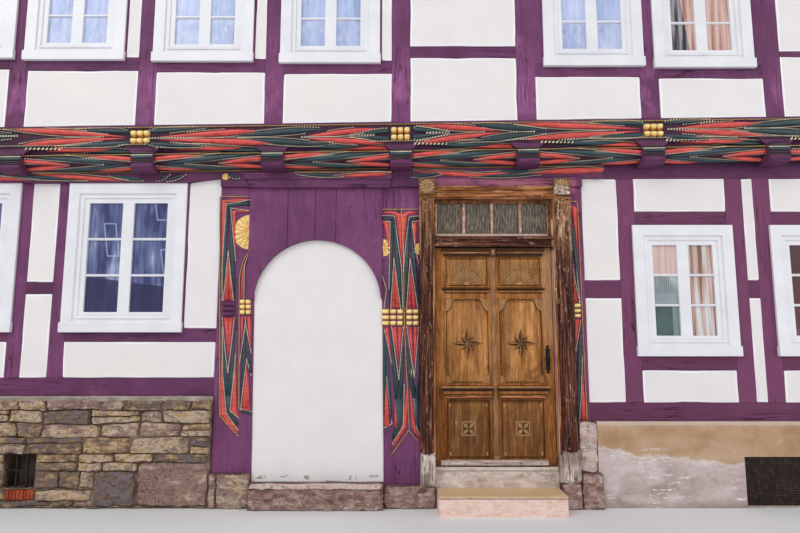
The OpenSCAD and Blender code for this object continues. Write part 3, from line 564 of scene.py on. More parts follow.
@finish_once
def window_glass(kind):
    """A window pane in front of a dim room: what hangs behind it and the painted reflection of what it
    mirrors, by kind.
    """
    f = Finish("window_glass_" + kind)
    folds = f.noise(5.5, 3, 0.5, (5, 1, 0.25), (0, 0, 0), 0.3)
    cloud = f.noise(1.6, 4, 0.55, (1, 1, 0.8), (2, 0, 1), 0.8)
    ripple = f.noise(2.6, 2, 0.5)
    height = f.attribute("tone")
    cloth = folds.ramp([(0.34, 160, 118, 108), (0.48, 200, 160, 148), (0.62, 218, 188, 178)])
    # sky: painted reflection of the sky, with lace behind the lower part
    if kind == "sky":
        lace = f.noise(13, 4, 0.65, (2.2, 1, 1)).step_up(0.44, 0.60)
        f.tint = (folds * 0.3 + cloud * 0.7).ramp(
            [(0.34, 138, 154, 194), (0.46, 178, 192, 228), (0.62, 206, 216, 242)]
        )
        f.coat((1 - height.step_up(0.30, 0.36)) * lace * 0.45, (224, 232, 248))
        f.coat((1 - height.step_up(0.2, 0.5)) * 0.2, (120, 136, 176))
    # dusk: painted reflection of the houses across the street, with their boards, window frames and roof
    elif kind == "dusk":
        planks = (f.axis("X") * 110).maths("SINE").step_up(0.70, 0.95)
        blocks = f.noise(3.4, 3, 0.5, (2.2, 1, 0.5), (5, 1, 2), 0.2)
        f.tint = blocks.ramp(
            [(0.40, 58, 62, 106), (0.48, 88, 96, 140), (0.58, 112, 122, 162), (0.66, 160, 170, 200)]
        )
        f.coat(planks * 0.40, (44, 46, 88))
        frames = mirrored_frame(f, -2.89, -2.79, 2.36, 2.67) + mirrored_frame(f, -2.36, -2.22, 2.72, 2.92)
        frames = frames + mirrored_frame(f, -2.36, -2.29, 2.16, 2.41)
        frames = frames + mirrored_frame(f, -4.10, -3.98, 2.30, 2.60)
        f.coat(frames.clamp() * 0.5, (188, 198, 224))
        eaves = (height + f.axis("X") * 0.123 + 0.057).step_up(0.0, 0.010)
        courses = (f.axis("Z") * 210).maths("SINE").step_up(0.2, 0.9)
        roof = f.mix(courses * 0.35, (38, 40, 78), (64, 60, 98))
        f.coat((1 - eaves) * 0.92, roof)
    elif kind == "cloth":
        f.tint = f.mix(cloud.step_up(0.56, 0.64) * 0.6, cloth, (214, 214, 216))
    elif kind == "drape":
        stripes = f.noise(4.2, 3, 0.5, (5, 1, 0.2), (3, 0, 0), 0.2)
        f.tint = stripes.ramp(
            [(0.38, 116, 92, 82), (0.45, 190, 150, 134), (0.52, 202, 176, 166), (0.59, 208, 212, 214)]
        )
    elif kind == "half":
        dark = folds.ramp([(0.38, 34, 34, 40), (0.5, 92, 88, 94), (0.62, 160, 152, 156)])
        side = f.attribute("across") + (height - 0.5) * 0.5
        f.tint = f.mix(side.step_up(0.50, 0.56), dark, cloth)
    elif kind == "street":
        pale = cloud.ramp([(0.4, 96, 108, 110), (0.5, 150, 160, 164), (0.6, 200, 208, 212)])
        rails = (f.axis("X") * 300).maths("SINE").step_up(0.0, 0.6) * height.step_up(0.46, 0.48)
        pale = f.mix(rails * 0.55, pale, (70, 82, 84))
        green = cloud.ramp([(0.4, 34, 56, 54), (0.62, 74, 104, 98)])
        green = f.mix(f.attribute("across").step_up(0.72, 0.76) * 0.5, green, (150, 168, 168))
        cloth = f.mix(0.35, cloth, (228, 212, 208))
        f.tint = f.mix(height.step_up(0.64, 0.68), f.mix(height.step_up(0.33, 0.36), green, pale), cloth)
    # room: painted shade of the dim room behind the pane
    else:
        f.tint = cloud.ramp([(0.35, 52, 18, 24), (0.55, 84, 36, 40), (0.72, 120, 84, 88)])
    return f.finish(0.07, f.bump(ripple, 0.12, 0.02), specular=0.3)


@finish_once
def ribbed_glass():
    """Dark ribbed glass over the door."""
    f = Finish("ribbed_glass")
    ribs = (f.axis("X") * 420).maths("SINE")
    speck = f.noise(46, 4, 0.7, (2.2, 1, 0.3))
    f.tint = (speck * 0.8 + ribs * 0.1).ramp([(0.28, 44, 38, 30), (0.44, 98, 86, 72), (0.62, 178, 162, 140)])
    return f.finish(0.2, f.bump(ribs * 0.5 + speck, 0.5, 0.003), specular=0.3)


@finish_once
def sandstone(kind):
    """Sandstone: each rubble stone takes its own colour from its tone, other kinds vary less."""
    f = Finish("sandstone_" + kind)
    tone = f.attribute("tone")
    patches = f.noise(6, 6, 0.7, (1, 1, 1.6), (0, 0, 0), 0.4)
    grit = f.noise(90, 4, 0.7)
    layers = f.noise(9, 5, 0.65, (1, 1, 4.0), (1, 2, 0), 0.5)
    pits = f.noise(26, 4, 0.7)
    chunks = f.cells(15, (1, 1, 1.7), "F1", "Color")
    spread = {"rubble": 0.7, "grey": 0.5, "step": 0.0, "dressed": 0.0}[kind]
    dirt = {"rubble": 1.1, "grey": 0.8, "step": 0.3, "dressed": 0.4}[kind]
    value = tone * spread + (patches - 0.5) * 1.2 + (layers - 0.5) * 0.7 + (chunks - 0.5) * 0.4
    value = (value + (1 - spread) * 0.5).clamp()
    stops = {
        "rubble": [
            (0.02, 132, 120, 122), (0.18, 126, 106, 92), (0.34, 164, 138, 114), (0.48, 200, 162, 114),
            (0.62, 218, 196, 170), (0.76, 176, 150, 134), (1.0, 158, 128, 118)
        ],
        "dressed": [(0.2, 188, 170, 156), (0.45, 216, 198, 188), (0.7, 236, 220, 210), (0.95, 244, 232, 226)],
        "grey": [(0.15, 112, 86, 78), (0.4, 156, 126, 116), (0.6, 184, 156, 146), (0.9, 220, 198, 188)],
        "step": [(0.1, 222, 180, 158), (0.4, 250, 214, 198), (0.65, 254, 226, 212), (0.95, 254, 234, 226)],
    }[kind]
    f.tint = f.mix(grit.step_up(0.48, 0.70) * 0.42 * dirt, value.ramp(stops), (66, 50, 42))
    f.coat(pits.step_up(0.56, 0.66) * 0.6 * dirt, (70, 52, 44))
    if kind in ("rubble", "grey"):
        creases = 1 - f.cells(11, (1, 1, 1.8), "DISTANCE_TO_EDGE").step_up(0.01, 0.05)
        f.coat(creases * patches.step_up(0.46, 0.6) * 0.7, (52, 38, 32))
    if kind == "rubble":
        f.coat(f.noise(13, 3, 0.6, (1, 1, 1.5), (7, 7, 7)).step_up(0.66, 0.76) * 0.5, (206, 194, 178))
    elif kind == "step":
        up = f.axis("Z") + (patches - 0.5) * 0.01
        f.coat(up.step_up(0.158, 0.168) * 0.75, (214, 182, 126))
        f.coat(up.between(0.148, 0.152, 0.158, 0.162) * 0.75, (112, 78, 58))
    elif kind == "dressed":
        f.coat(f.axis("Z").step_up(0.340, 0.346) * 0.6, (232, 220, 200))
        f.coat(f.axis("Z").between(0.318, 0.324, 0.330, 0.336) * 0.5, (120, 104, 90))
    relief = grit * 0.35 + layers * 0.6 + patches * 0.6 + pits * 0.5
    return f.finish(0.92, f.bump(relief, 1.0, 0.032 if kind == "rubble" else 0.022), specular=0.15)


@finish_once
def mortar_coat():
    """Grey brown lime mortar between the stones."""
    f = Finish("lime_mortar")
    clouds, grit = f.noise(4, 5, 0.6), f.noise(60, 4, 0.7)
    top = f.axis("Z").step_up(0.955, 0.975)
    f.tint = clouds.ramp([(0.34, 62, 48, 40), (0.5, 108, 88, 74), (0.66, 160, 140, 120)])
    pale = clouds.ramp([(0.35, 146, 128, 112), (0.65, 196, 186, 176)])
    f.coat(top, pale)
    return f.finish(0.95, f.bump(grit + clouds, 0.8, 0.014), specular=0.15)


@finish_once
def worn_render():
    """Ochre render whose lower part has worn to a pale lilac grey, in a ragged line."""
    f = Finish("worn_render")
    height = f.axis("Z")
    ragged = f.noise(2.2, 6, 0.65)
    cloud = f.noise(3.6, 6, 0.62, (1, 1, 1.6), (4, 2, 1))
    grit = f.noise(85, 4, 0.7)
    drag = f.noise(9, 4, 0.6, (6, 1, 1))
    sunk = (f.axis("X") - 1.95).maths("MINIMUM", 1.15) * 0.12
    edge = height + (ragged - 0.5) * 0.30 + (cloud - 0.5) * 0.10 + sunk + 0.045
    ochre = (cloud * 0.88 + drag * 0.12).ramp(
        [(0.3, 168, 134, 102), (0.5, 190, 157, 126), (0.7, 202, 174, 146)]
    )
    pale = (cloud * 0.8 + grit * 0.2).ramp(
        [(0.34, 160, 142, 136), (0.5, 200, 182, 178), (0.62, 216, 204, 200), (0.74, 238, 232, 228)]
    )
    f.tint = f.mix(edge.step_up(0.55, 0.60), pale, ochre)
    line = 1 - (edge - 0.575).maths("ABSOLUTE").step_up(0.0, 0.03)
    f.coat(line * 0.5, (226, 216, 208))
    strokes = f.noise(7, 6, 0.75, (0.7, 1, 5), (2, 5, 1)).step_up(0.53, 0.62) * (1 - edge.step_up(0.58, 0.70))
    strokes = strokes * f.noise(1.5, 2, 0.5, (1, 1, 2), (6, 1, 3)).step_up(0.46, 0.58)
    f.coat(strokes * f.noise(34, 3, 0.6).step_up(0.4, 0.56) * 0.9, (250, 246, 242))
    f.coat(height.step_up(0.735, 0.755) * 0.6, (214, 198, 186))
    f.coat((1 - height.step_up(0.0, 0.10)) * 0.45, (120, 98, 84))
    return f.finish(0.92, f.bump(grit * 0.5 + cloud * 0.7 - line * 0.3, 0.7, 0.012), specular=0.15)


@finish_once
def rusty_wire():
    """Dark rusty wire."""
    f = Finish("rusty_wire")
    rust = f.noise(30, 4, 0.6)
    f.tint = rust.ramp([(0.35, 44, 33, 29), (0.55, 80, 59, 48), (0.7, 120, 94, 78)])
    return f.finish(0.7, f.bump(rust, 0.3, 0.001), metallic=0.3)


@finish_once
def roof_clay():
    """Red clay roof tiles, each with its own tone, with dark weathering."""
    f = Finish("roof_tile")
    tone = f.attribute("tone")
    moss = f.noise(2.6, 5, 0.65)
    grit = f.noise(60, 3, 0.6)
    f.tint = (tone * 0.7 + grit * 0.3).ramp([(0.15, 112, 54, 38), (0.5, 150, 76, 52), (0.85, 178, 104, 72)])
    f.coat(moss.step_up(0.5, 0.75) * 0.55, (82, 66, 54))
    return f.finish(0.82, f.bump(grit, 0.4, 0.003))


@finish_once
def brick_clay():
    """Dark red ribbed brick under the cellar opening."""
    f = Finish("brick_clay")
    grit = f.noise(50, 4, 0.7)
    f.tint = (f.attribute("tone") * 0.5 + grit * 0.5).ramp(
        [(0.2, 88, 36, 24), (0.5, 146, 62, 38), (0.8, 186, 92, 62)]
    )
    return f.finish(0.85, f.bump(grit, 0.6, 0.004), specular=0.15)


# The oak of the leaf by use: how far it is darkened, and how much the sun has bleached it. The darkening is
# painted shade in door_shaded_oak and on the dark halves of the stars; door_carved_oak is darker on the rest
# of the carving, and door_dusty_oak holds a little old dirt

OILED_OAKS = {
    "door_oak": (0.0, 0.0), "door_carved_oak": (0.82, 0.0), "door_shaded_oak": (0.97, 0.0),
    "door_dusty_oak": (0.22, 0.22), "door_bleached_oak": (0.0, 0.45),
}


@finish_once
def oiled_oak(name):
    """Oiled oak: orange brown above, darker towards the foot, with dirty pores or bleached by the sun."""
    f = Finish(name)
    dirt, bleach = OILED_OAKS[name]
    x_low, x_high = low("door_leaf", 0), high("door_leaf", 0)
    grain = f.noise(9, 6, 0.62, (7, 7, 0.8), (0, 0, 0), 0.4)
    rings = f.noise(2.4, 3, 0.5, (6, 6, 0.6), (1, 0, 2), 1.2)
    wear = f.noise(4.2, 5, 0.65)
    scuffs = f.noise(15, 5, 0.65, (2, 2, 0.5))
    lower = 1 - (f.axis("Z") + (wear - 0.5) * 0.9).step_up(0.7, 1.35)
    wood = grain * 0.55 + rings * 0.45
    f.tint = wood.ramp([(0.3, 104, 60, 26), (0.45, 164, 106, 52), (0.6, 204, 146, 86), (0.75, 226, 178, 124)])
    dark = wood.ramp([(0.3, 46, 24, 8), (0.48, 96, 58, 22), (0.7, 142, 98, 52)])
    f.coat(lower * 0.85, dark)
    f.coat(wear.step_up(0.52, 0.66) * 0.6, (92, 50, 20))
    flat_places = f.noise(1.1, 3, 0.5, (4, 1, 0.5), (8, 2, 5))
    f.coat(flat_places.step_up(0.50, 0.62) * 0.45, (84, 50, 26))
    f.coat(scuffs.step_up(0.62, 0.72) * 0.5, (214, 180, 136))
    across, depth = f.axis("X"), f.axis("Y")
    framing = 1 - depth.step_up(DOOR_FRONT + 0.001, DOOR_FRONT + 0.003)
    frame_wood = grain * 0.6 + rings * 0.4
    f.coat(framing * 0.5, frame_wood.ramp([(0.35, 84, 44, 14), (0.5, 150, 86, 30), (0.65, 196, 124, 56)]))
    off_middle = (across - (x_low + x_high) / 2).maths("ABSOLUTE")
    muntin = (1 - off_middle.step_up(0.022, 0.028)) * (1 - depth.step_up(DOOR_FRONT - 0.002, DOOR_FRONT))
    f.coat(muntin * 0.6, wood.ramp([(0.35, 84, 62, 44), (0.5, 138, 108, 80), (0.65, 176, 146, 116)]))
    sunned = across.step_up(x_high - 0.10, x_high - 0.09) * f.axis("Z").step_up(1.2, 1.8)
    f.coat(framing * sunned * 0.28, (226, 196, 158))
    height = grain * 0.7 + rings * 0.3
    if name == "door_oak":
        foot, up = low("door_leaf", 2), f.axis("Z")
        shells = up.between(foot + 1.715, foot + 1.722, foot + 1.922, foot + 1.93) * (1 - framing)
        leaves = f.cells(58, (1, 1, 1), "DISTANCE_TO_EDGE").step_up(0.02, 0.16)
        f.coat(shells * 0.45, f.mix(leaves, (70, 44, 20), (168, 132, 84)))
        height = height + shells * leaves * 1.5
    if dirt:
        f.coat(dirt, (44, 24, 10))
    if bleach:
        f.coat(bleach, (206, 174, 128))
    relief = f.bump(height, 0.5, 0.004)
    return f.finish(grain * 0.2 + 0.46, relief, specular=0.2)


@finish_once
def warm_oak():
    """The rounded edges of the cornices, rubbed to a red brown."""
    stops = [(0.32, 96, 50, 24), (0.5, 160, 92, 50), (0.68, 204, 144, 92)]
    return grained("door_warm_oak", (7, 5, 0.6, (0.8, 9, 9)), stops, 0.5, specular=0.3)


@finish_once
def grey_oak():
    """The weather bar, bare and grey."""
    stops = [(0.3, 138, 120, 112), (0.55, 190, 172, 164), (0.75, 222, 210, 204)]
    return grained("door_grey_oak", (6, 5, 0.6, (0.8, 9, 9)), stops, 0.8, 0.5, 0.004)


@finish_once
def weathered_oak(grain="Z"):
    """Nearly black old oak of the door frame, browner under the head, chipped pale, with worn feet."""
    f = Finish("weathered_oak_" + grain)
    along = streaked(grain, 10)
    fibres = f.noise(5, 6, 0.68, along, (0, 0, 0), 0.3)
    flakes = f.noise(17, 5, 0.68, tuple(a ** 0.5 for a in along), (2, 2, 5), 0.4)
    warm = f.noise(1.6, 3, 0.5, tuple(a ** 0.5 for a in along), (1, 7, 3))
    edge = f.noise(16, 4, 0.6, (1.5, 1, 0.6))
    up = f.axis("Z")
    foot = 1 - (up + (edge - 0.5) * 0.16).step_up(0.47, 0.50)
    upper = (up + (warm - 0.5) * 1.2).step_up(2.15, 2.65)
    f.tint = fibres.ramp([(0.38, 26, 8, 6), (0.47, 60, 26, 16), (0.55, 98, 54, 38), (0.68, 150, 108, 86)])
    bare = fibres.ramp([(0.38, 62, 36, 20), (0.48, 118, 78, 50), (0.56, 156, 112, 78), (0.68, 206, 168, 132)])
    f.coat(upper * {"X": 0.15, "Z": 0.9}[grain], bare)
    f.coat(warm.step_up(0.55, 0.75) * 0.35, (116, 64, 34))
    pale = upper * f.axis("X").step_up(1.45, 1.55) * flakes.step_up(0.50, 0.60)
    f.coat(flakes.step_up(0.60, 0.67) * 0.75, (206, 180, 166))
    f.coat(pale * 0.7, (226, 190, 156))
    worn = edge.ramp([(0.35, 120, 96, 84), (0.5, 196, 182, 176), (0.7, 222, 214, 210)])
    f.coat(foot * fibres.step_up(0.25, 0.5), worn)
    return f.finish(0.7, f.bump(fibres + flakes * 0.6, 0.8, 0.008), specular=0.2)


@finish_once
def foot_oak():
    """The worn feet of the door frame, whitish with dark cracks."""
    f = Finish("foot_oak")
    fibres = f.noise(7, 6, 0.7, (8, 8, 0.9), (0, 0, 0), 0.3)
    stain = f.noise(5, 3, 0.6, (1, 1, 0.6), (2, 4, 1))
    f.tint = fibres.ramp(
        [(0.38, 88, 62, 48), (0.46, 178, 158, 146), (0.6, 226, 214, 208), (0.7, 240, 232, 228)]
    )
    f.coat(stain.step_up(0.48, 0.62) * 0.65, (84, 54, 40))
    rot = f.axis("X").step_up(1.2, 1.3) * (f.axis("Z") + (fibres - 0.5) * 0.4).step_up(0.34, 0.46)
    f.coat(rot * 0.6, (88, 58, 42))
    return f.finish(0.75, f.bump(fibres, 0.8, 0.006), specular=0.2)


@finish_once
def bare_oak(grain="Z"):
    """Orange brown oak of the door head and the inner frame."""
    f = Finish("bare_oak_" + grain)
    along = streaked(grain, 10)
    fibres = f.noise(5, 6, 0.65, along, (0, 0, 0), 0.3)
    blotch = f.noise(3.1, 4, 0.6, tuple(a ** 0.4 for a in along), (3, 2, 5))
    f.tint = fibres.ramp([(0.36, 80, 40, 18), (0.5, 160, 98, 54), (0.64, 216, 162, 114)])
    f.coat(blotch.step_up(0.48, 0.62) * 0.65, (70, 34, 20))
    f.coat(f.noise(21, 4, 0.6).step_up(0.62, 0.70) * 0.6, (214, 190, 166))
    return f.finish(0.66, f.bump(fibres + blotch * 0.4, 0.6, 0.005), specular=0.2)


@finish_once
def pinkish_oak():
    """Edges faded to a pale pinkish brown."""
    stops = [(0.3, 132, 88, 70), (0.5, 186, 140, 120), (0.7, 220, 186, 168)]
    return grained("pinkish_oak", (7, 5, 0.6, (9, 9, 0.8)), stops, 0.6)


@finish_once
def transom_oak():
    """The frame over the door: brown oak with faded bars and a pale foot."""
    f = Finish("transom_oak")
    (x0, _, z0), (x1, _, z1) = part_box("transom_window")
    fibres = f.noise(6, 5, 0.6, (3, 9, 3))
    across, up = f.axis("X"), f.axis("Z")
    brown = fibres.ramp([(0.35, 66, 38, 22), (0.5, 122, 78, 48), (0.65, 168, 118, 78)])
    faded = fibres.ramp([(0.35, 150, 104, 84), (0.5, 198, 154, 134), (0.65, 222, 190, 172)])
    inner = across.between(x0 + 0.016, x0 + 0.022, x1 - 0.028, x1 - 0.024)
    inner = inner * (1 - up.step_up(z1 - 0.034, z1 - 0.030))
    foot = 1 - up.step_up(z0 + 0.026, z0 + 0.030)
    f.tint = f.mix(inner, brown, f.mix(foot * 0.6, faded, (214, 192, 184)))
    return f.finish(0.6, f.bump(fibres, 0.4, 0.003), specular=0.2)


@finish_once
def block_oak():
    """Khaki brown oak of the carved corner blocks."""
    f = Finish("block_oak")
    fibres = f.noise(44, 4, 0.65)
    patches = f.noise(9, 3, 0.6)
    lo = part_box("rosette_blocks")[0]
    depth = f.axis("Y")
    f.tint = fibres.ramp(
        [(0.34, 112, 82, 54), (0.48, 154, 118, 78), (0.6, 184, 148, 104), (0.72, 206, 176, 134)]
    )
    f.coat((1 - depth.step_up(lo[1] - 0.004, lo[1] + 0.001)) * 0.3, (222, 192, 146))
    f.coat(depth.step_up(lo[1] - 0.001, lo[1]) * 0.6, (84, 58, 36))
    height = f.axis("Z") + (patches - 0.5) * 0.12
    crumbled = f.axis("X").step_up(1.45, 1.5) * (1 - height.step_up(lo[2] + 0.05, lo[2] + 0.08))
    broken = f.noise(38, 3, 0.7, (1, 1, 1), (3, 3, 3)).ramp(
        [(0.42, 96, 70, 52), (0.5, 214, 196, 176), (0.6, 236, 226, 214)]
    )
    f.coat(crumbled * 0.85, broken)
    return f.finish(0.75, f.bump(fibres, 0.7, 0.004), specular=0.2)


# Ornament surfaces: each gives a point for x, a height v on the surface and a distance out of it


def flat_face(y):
    """An upright face at y, where v is the height over the ground."""
    return lambda x, v, out: (x, y - out, v)


def sill_face(x, v, out):
    """The upright front of the carved sill, where v starts at its foot."""
    return (x, UPPER_FACE - out, SILL_Z + rise(x) + v)


def keel_face(x, v, out):
    """The hollow along the foot of the sill: v runs from 0 at its foot to 1 at its upper edge."""
    turn = v * math.pi / 2
    reach = KEEL_R - out
    return (x, UPPER_FACE + reach * math.cos(turn), SILL_Z + rise(x) + reach * math.sin(turn))


def filler_face(x, v, out):
    """The quarter-round fillers: v runs from 0 at the foot to 1 under the sill."""
    turn = (1 - v) * math.pi / 2
    reach = FILLER_R + out
    centre = FILLER_FRONT + FILLER_R
    return (x, centre - reach * math.cos(turn), SILL_Z + rise(x) - reach * math.sin(turn))


def fullness(t, swell):
    """How thick a spindle is at t along it: 0 at both ends and 1 where it swells most."""
    part = t / swell / 2 if t < swell else 0.5 + (t - swell) / (1 - swell) / 2
    return math.sin(math.pi * part) if 0 < part < 1 else 0.0


def spindle(shape, surface, start, end, width, out, swell=0.5, blunt=(False, False), steps=16, aspect=1.0):
    """A carved half-round rod, thickest at swell and pointed at the ends that aren't blunt."""
    (x0, v0), (x1, v1) = start, end
    along = Vector((x1 - x0, (v1 - v0) * aspect))
    side = Vector((-along.y, along.x / aspect ** 2)).normalized() if along.length else Vector((0, 1))
    # Painted light: tones that give each rod a painted highlight along its upper edge and painted shade along
    # its lower edge
    light = [math.cos(math.pi * (k - 1) / 6) for k in range(7)]
    if side.y < 0:
        light.reverse()
    rows = []
    for i in range(steps + 1):
        t = i / steps
        cut_off = (blunt[0] and t < swell) or (blunt[1] and t > swell)
        thick = max(fullness(t, swell), 0.8 if cut_off else 0.03)
        row = []
        for k in range(7):
            turn = math.pi * k / 6
            across = math.cos(turn) * width / 2 * thick
            x, v = x0 + (x1 - x0) * t + side.x * across, v0 + (v1 - v0) * t + side.y * across / aspect
            row.append(surface(x, v, math.sin(turn) * out * thick - 0.002))
        rows.append(row)
    shape.grid(rows, 0, light * len(rows))
    for row in (rows[0], rows[-1]):
        shape.add(row, [tuple(range(len(row)))], 0, light)


def route(surface, start, end, steps=12, out=0.004):
    """The points of a rope between two places on an ornament surface."""
    (x0, v0), (x1, v1) = start, end
    return [surface(x0 + (x1 - x0) * i / steps, v0 + (v1 - v0) * i / steps, out) for i in range(steps + 1)]


# Ropes: twisted cords of slanted beads on a dark ground that is painted shade between the strands, along any
# route, with their sizes in this order

ROPE_SIZES = ("Pitch", "Strand Length", "Strand Width", "Ground Radius", "Slant", "Stand Out")
SILL_ROPE = (0.027, 0.0108, 0.0045, 0.0082, 0.5, 0.0065)
KEEL_ROPE = (0.037, 0.018, 0.0085, 0.013, 0.8, 0.010)
POST_ROPE = (0.019, 0.0100, 0.0042, 0.0056, 0.3, 0.0055)


def rope_tree(name, strand, ground):
    """The Geometry Nodes of a rope: beads spaced along each curve over a thin dark tube, the painted shade
    between the strands.
    """
    tree = bpy.data.node_groups.new(name, "GeometryNodeTree")
    socket = tree.interface.new_socket
    socket("Geometry", in_out="INPUT", socket_type="NodeSocketGeometry")
    for label, default in zip(ROPE_SIZES, SILL_ROPE):
        socket(label, in_out="INPUT", socket_type="NodeSocketFloat").default_value = default
    socket("Geometry", in_out="OUTPUT", socket_type="NodeSocketGeometry")
    g = Nodes(tree)
    routes, pitch, length, width, radius, slant, out = (
        g.node("NodeGroupInput", {}, {}, label) for label in ("Geometry", *ROPE_SIZES)
    )
    curve = g.node("GeometryNodeMeshToCurve", {}, {0: routes})
    spaced = g.node("GeometryNodeResampleCurve", {"mode": "LENGTH"}, {"Curve": curve, "Length": pitch})
    bead = g.node("GeometryNodeMeshIcoSphere", {}, {"Radius": 1.0, "Subdivisions": 1}, "Mesh")
    shaped = g.node("GeometryNodeTransform", {}, {
        "Geometry": bead,
        "Scale": g.node("ShaderNodeCombineXYZ", {}, {0: length, 1: width, 2: width}),
        "Rotation": g.node("ShaderNodeCombineXYZ", {}, {1: slant}),
        "Translation": g.node("ShaderNodeCombineXYZ", {}, {1: out}),
    })
    tangent = g.node("GeometryNodeInputTangent", {}, {})
    ahead = g.node("FunctionNodeAlignRotationToVector", {"axis": "X"}, {"Vector": tangent})
    facing = {"Vector": (0, -1, 0), "Rotation": ahead}
    outward = g.node("FunctionNodeAlignRotationToVector", {"axis": "Y", "pivot_axis": "X"}, facing)
    placed = {"Points": spaced, "Instance": shaped, "Rotation": outward}
    instances = g.node("GeometryNodeInstanceOnPoints", {}, placed)
    beads = g.node("GeometryNodeRealizeInstances", {}, {0: instances})
    profile = g.node("GeometryNodeCurvePrimitiveCircle", {}, {"Resolution": 6, "Radius": radius}, "Curve")
    tube = g.node("GeometryNodeCurveToMesh", {}, {"Curve": curve, "Profile Curve": profile})
    joined = g.nodes.new("GeometryNodeJoinGeometry")
    for part, material in ((beads, strand), (tube, ground)):
        painted = g.node("GeometryNodeSetMaterial", {}, {"Geometry": part, "Material": material})
        g.links.new(painted.link, joined.inputs[0])
    g.links.new(joined.outputs[0], g.nodes.new("NodeGroupOutput").inputs[0])
    return tree


def grow(name, mesh, tree, settings):
    """Runs a Geometry Nodes tree on a mesh and keeps the result as a plain mesh."""
    seed = bpy.data.objects.new(name + "_seed", mesh)
    bpy.context.scene.collection.objects.link(seed)
    modifier = seed.modifiers.new("nodes", "NODES")
    modifier.node_group = tree
    for item in tree.interface.items_tree:
        if item.item_type == "SOCKET" and item.in_out == "INPUT" and item.name in settings:
            modifier[item.identifier] = settings[item.name]
    bpy.context.view_layer.update()
    result = bpy.data.meshes.new_from_object(seed.evaluated_get(bpy.context.evaluated_depsgraph_get()))
    result.name = name
    bpy.data.objects.remove(seed)
    return place(name, result, HOUSE, ())


def ropes(name, routes, strand="cream", sizes=SILL_ROPE):
    """One piece with a twisted rope along each route."""
    mesh = bpy.data.meshes.new(name + "_routes")
    points, edges = [], []
    for path in routes:
        start = len(points)
        points += path
        edges += [(start + i, start + i + 1) for i in range(len(path) - 1)]
    mesh.from_pydata(points, edges, [])
    # The tube takes the shadow colour as painted shade between the strands
    tree = rope_tree(name + "_tree", carving_paint(strand), carving_paint("shadow"))
    settings = dict(zip(ROPE_SIZES, sizes))
    if sizes is SILL_ROPE:
        settings["Pitch"] = size("rope_pitch")
    return grow(name, mesh, tree, settings)


# Where the carved spindles lie on the sill, in millimetres: colour, start x and height, end x and height,
# width, where along it each swells most, and which end is blunt

SILL_SPINDLES = [
    ("green", -4798, 263, -3698, 198, 50, 0.45, "start"),
    ("green", -4784, 133, -3696, 168, 50, 0.45, "start"), ("red", -3829, 260, -2642, 163, 53, 0.45),
    ("red", -3671, 97, -2641, 153, 53, 0.3), ("green", -3150, 240, -2616, 213, 40, 0.75, "end"),
    ("green", -3283, 72, -2609, 102, 40, 0.75, "end"), ("green", -2441, 210, -1891, 243, 40, 0.25, "start"),
    ("green", -2435, 90, -1883, 52, 37, 0.25, "start"), ("red", -2419, 150, -1337, 205, 56, 0.72),
    ("red", -2418, 140, -1159, 72, 53, 0.7), ("green", -1723, 150, -727, 216, 54, 0.65),
    ("green", -1722, 135, -676, 55, 51, 0.65), ("red", -948, 139, -194, 214, 50, 0.6),
    ("red", -948, 129, -145, 58, 48, 0.6), ("green", -484, 143, -107, 188, 40, 0.9, "end"),
    ("green", -484, 138, -106, 107, 40, 0.9, "end"), ("green", 126, 199, 475, 164, 40, 0.1, "start"),
    ("green", 126, 119, 475, 159, 40, 0.1, "start"), ("red", 165, 244, 998, 172, 50, 0.5),
    ("red", 164, 63, 998, 162, 50, 0.42), ("green", 679, 242, 1453, 166, 50, 0.45),
    ("green", 677, 71, 1453, 156, 50, 0.45), ("red", 1116, 241, 2356, 173, 51, 0.4),
    ("red", 1112, 80, 2355, 153, 51, 0.4), ("green", 1845, 246, 2378, 223, 35, 0.75, "end"),
    ("green", 1838, 90, 2372, 113, 37, 0.75, "end"), ("green", 2553, 231, 3030, 250, 35, 0.25, "start"),
    ("green", 2546, 100, 3018, 69, 37, 0.25, "start"), ("red", 2598, 170, 3543, 217, 53, 0.6),
    ("red", 2597, 160, 3581, 86, 51, 0.6), ("green", 3180, 172, 4196, 238, 53, 0.6),
    ("green", 3179, 157, 4182, 87, 51, 0.6), ("red", 3879, 172, 4906, 233, 51, 0.6),
    ("red", 3879, 162, 4891, 98, 50, 0.6),
]

# The same on the plate, where the heights are those over the ground

PLATE_SPINDLES = [
    ("green", -4886, 3139, -4027, 3085, 26, 0.4, "start"), ("red", -4540, 3144, -3553, 3094, 26, 0.5),
    ("green", -3948, 3154, -3079, 3099, 32, 0.3, "start"), ("red", -3701, 3164, -2685, 3092, 32, 0.5),
    ("green", -2862, 3149, -2527, 3099, 26, 0.6, "end"), ("green", -2398, 3094, -2270, 3159, 22, 0.5),
    ("green", -2290, 3090, -2112, 3159, 22, 0.5), ("green", -1698, 3154, -1579, 3124, 22, 0.6, "end"),
    ("green", 118, 3134, 513, 3188, 28, 0.4, "start"), ("red", 138, 3188, 957, 3134, 30, 0.5),
    ("green", 809, 3173, 1431, 3203, 28, 0.5), ("red", 543, 3139, 1184, 3178, 22, 0.5),
    ("red", 1135, 3171, 2004, 3205, 42, 0.75, "end"), ("green", 691, 3136, 1382, 3159, 24, 0.5),
]

# The same on the upper board of the lintel over the gateway

LINTEL_SPINDLES = [
    ("green", -1000, 3150, -560, 3128, 20, 0.5), ("red", -640, 3124, -100, 3152, 26, 0.7),
]

# The carving of the gate posts and the door post, in millimetres: bands as x, z and width, ropes as x and
# z, beads as two corners

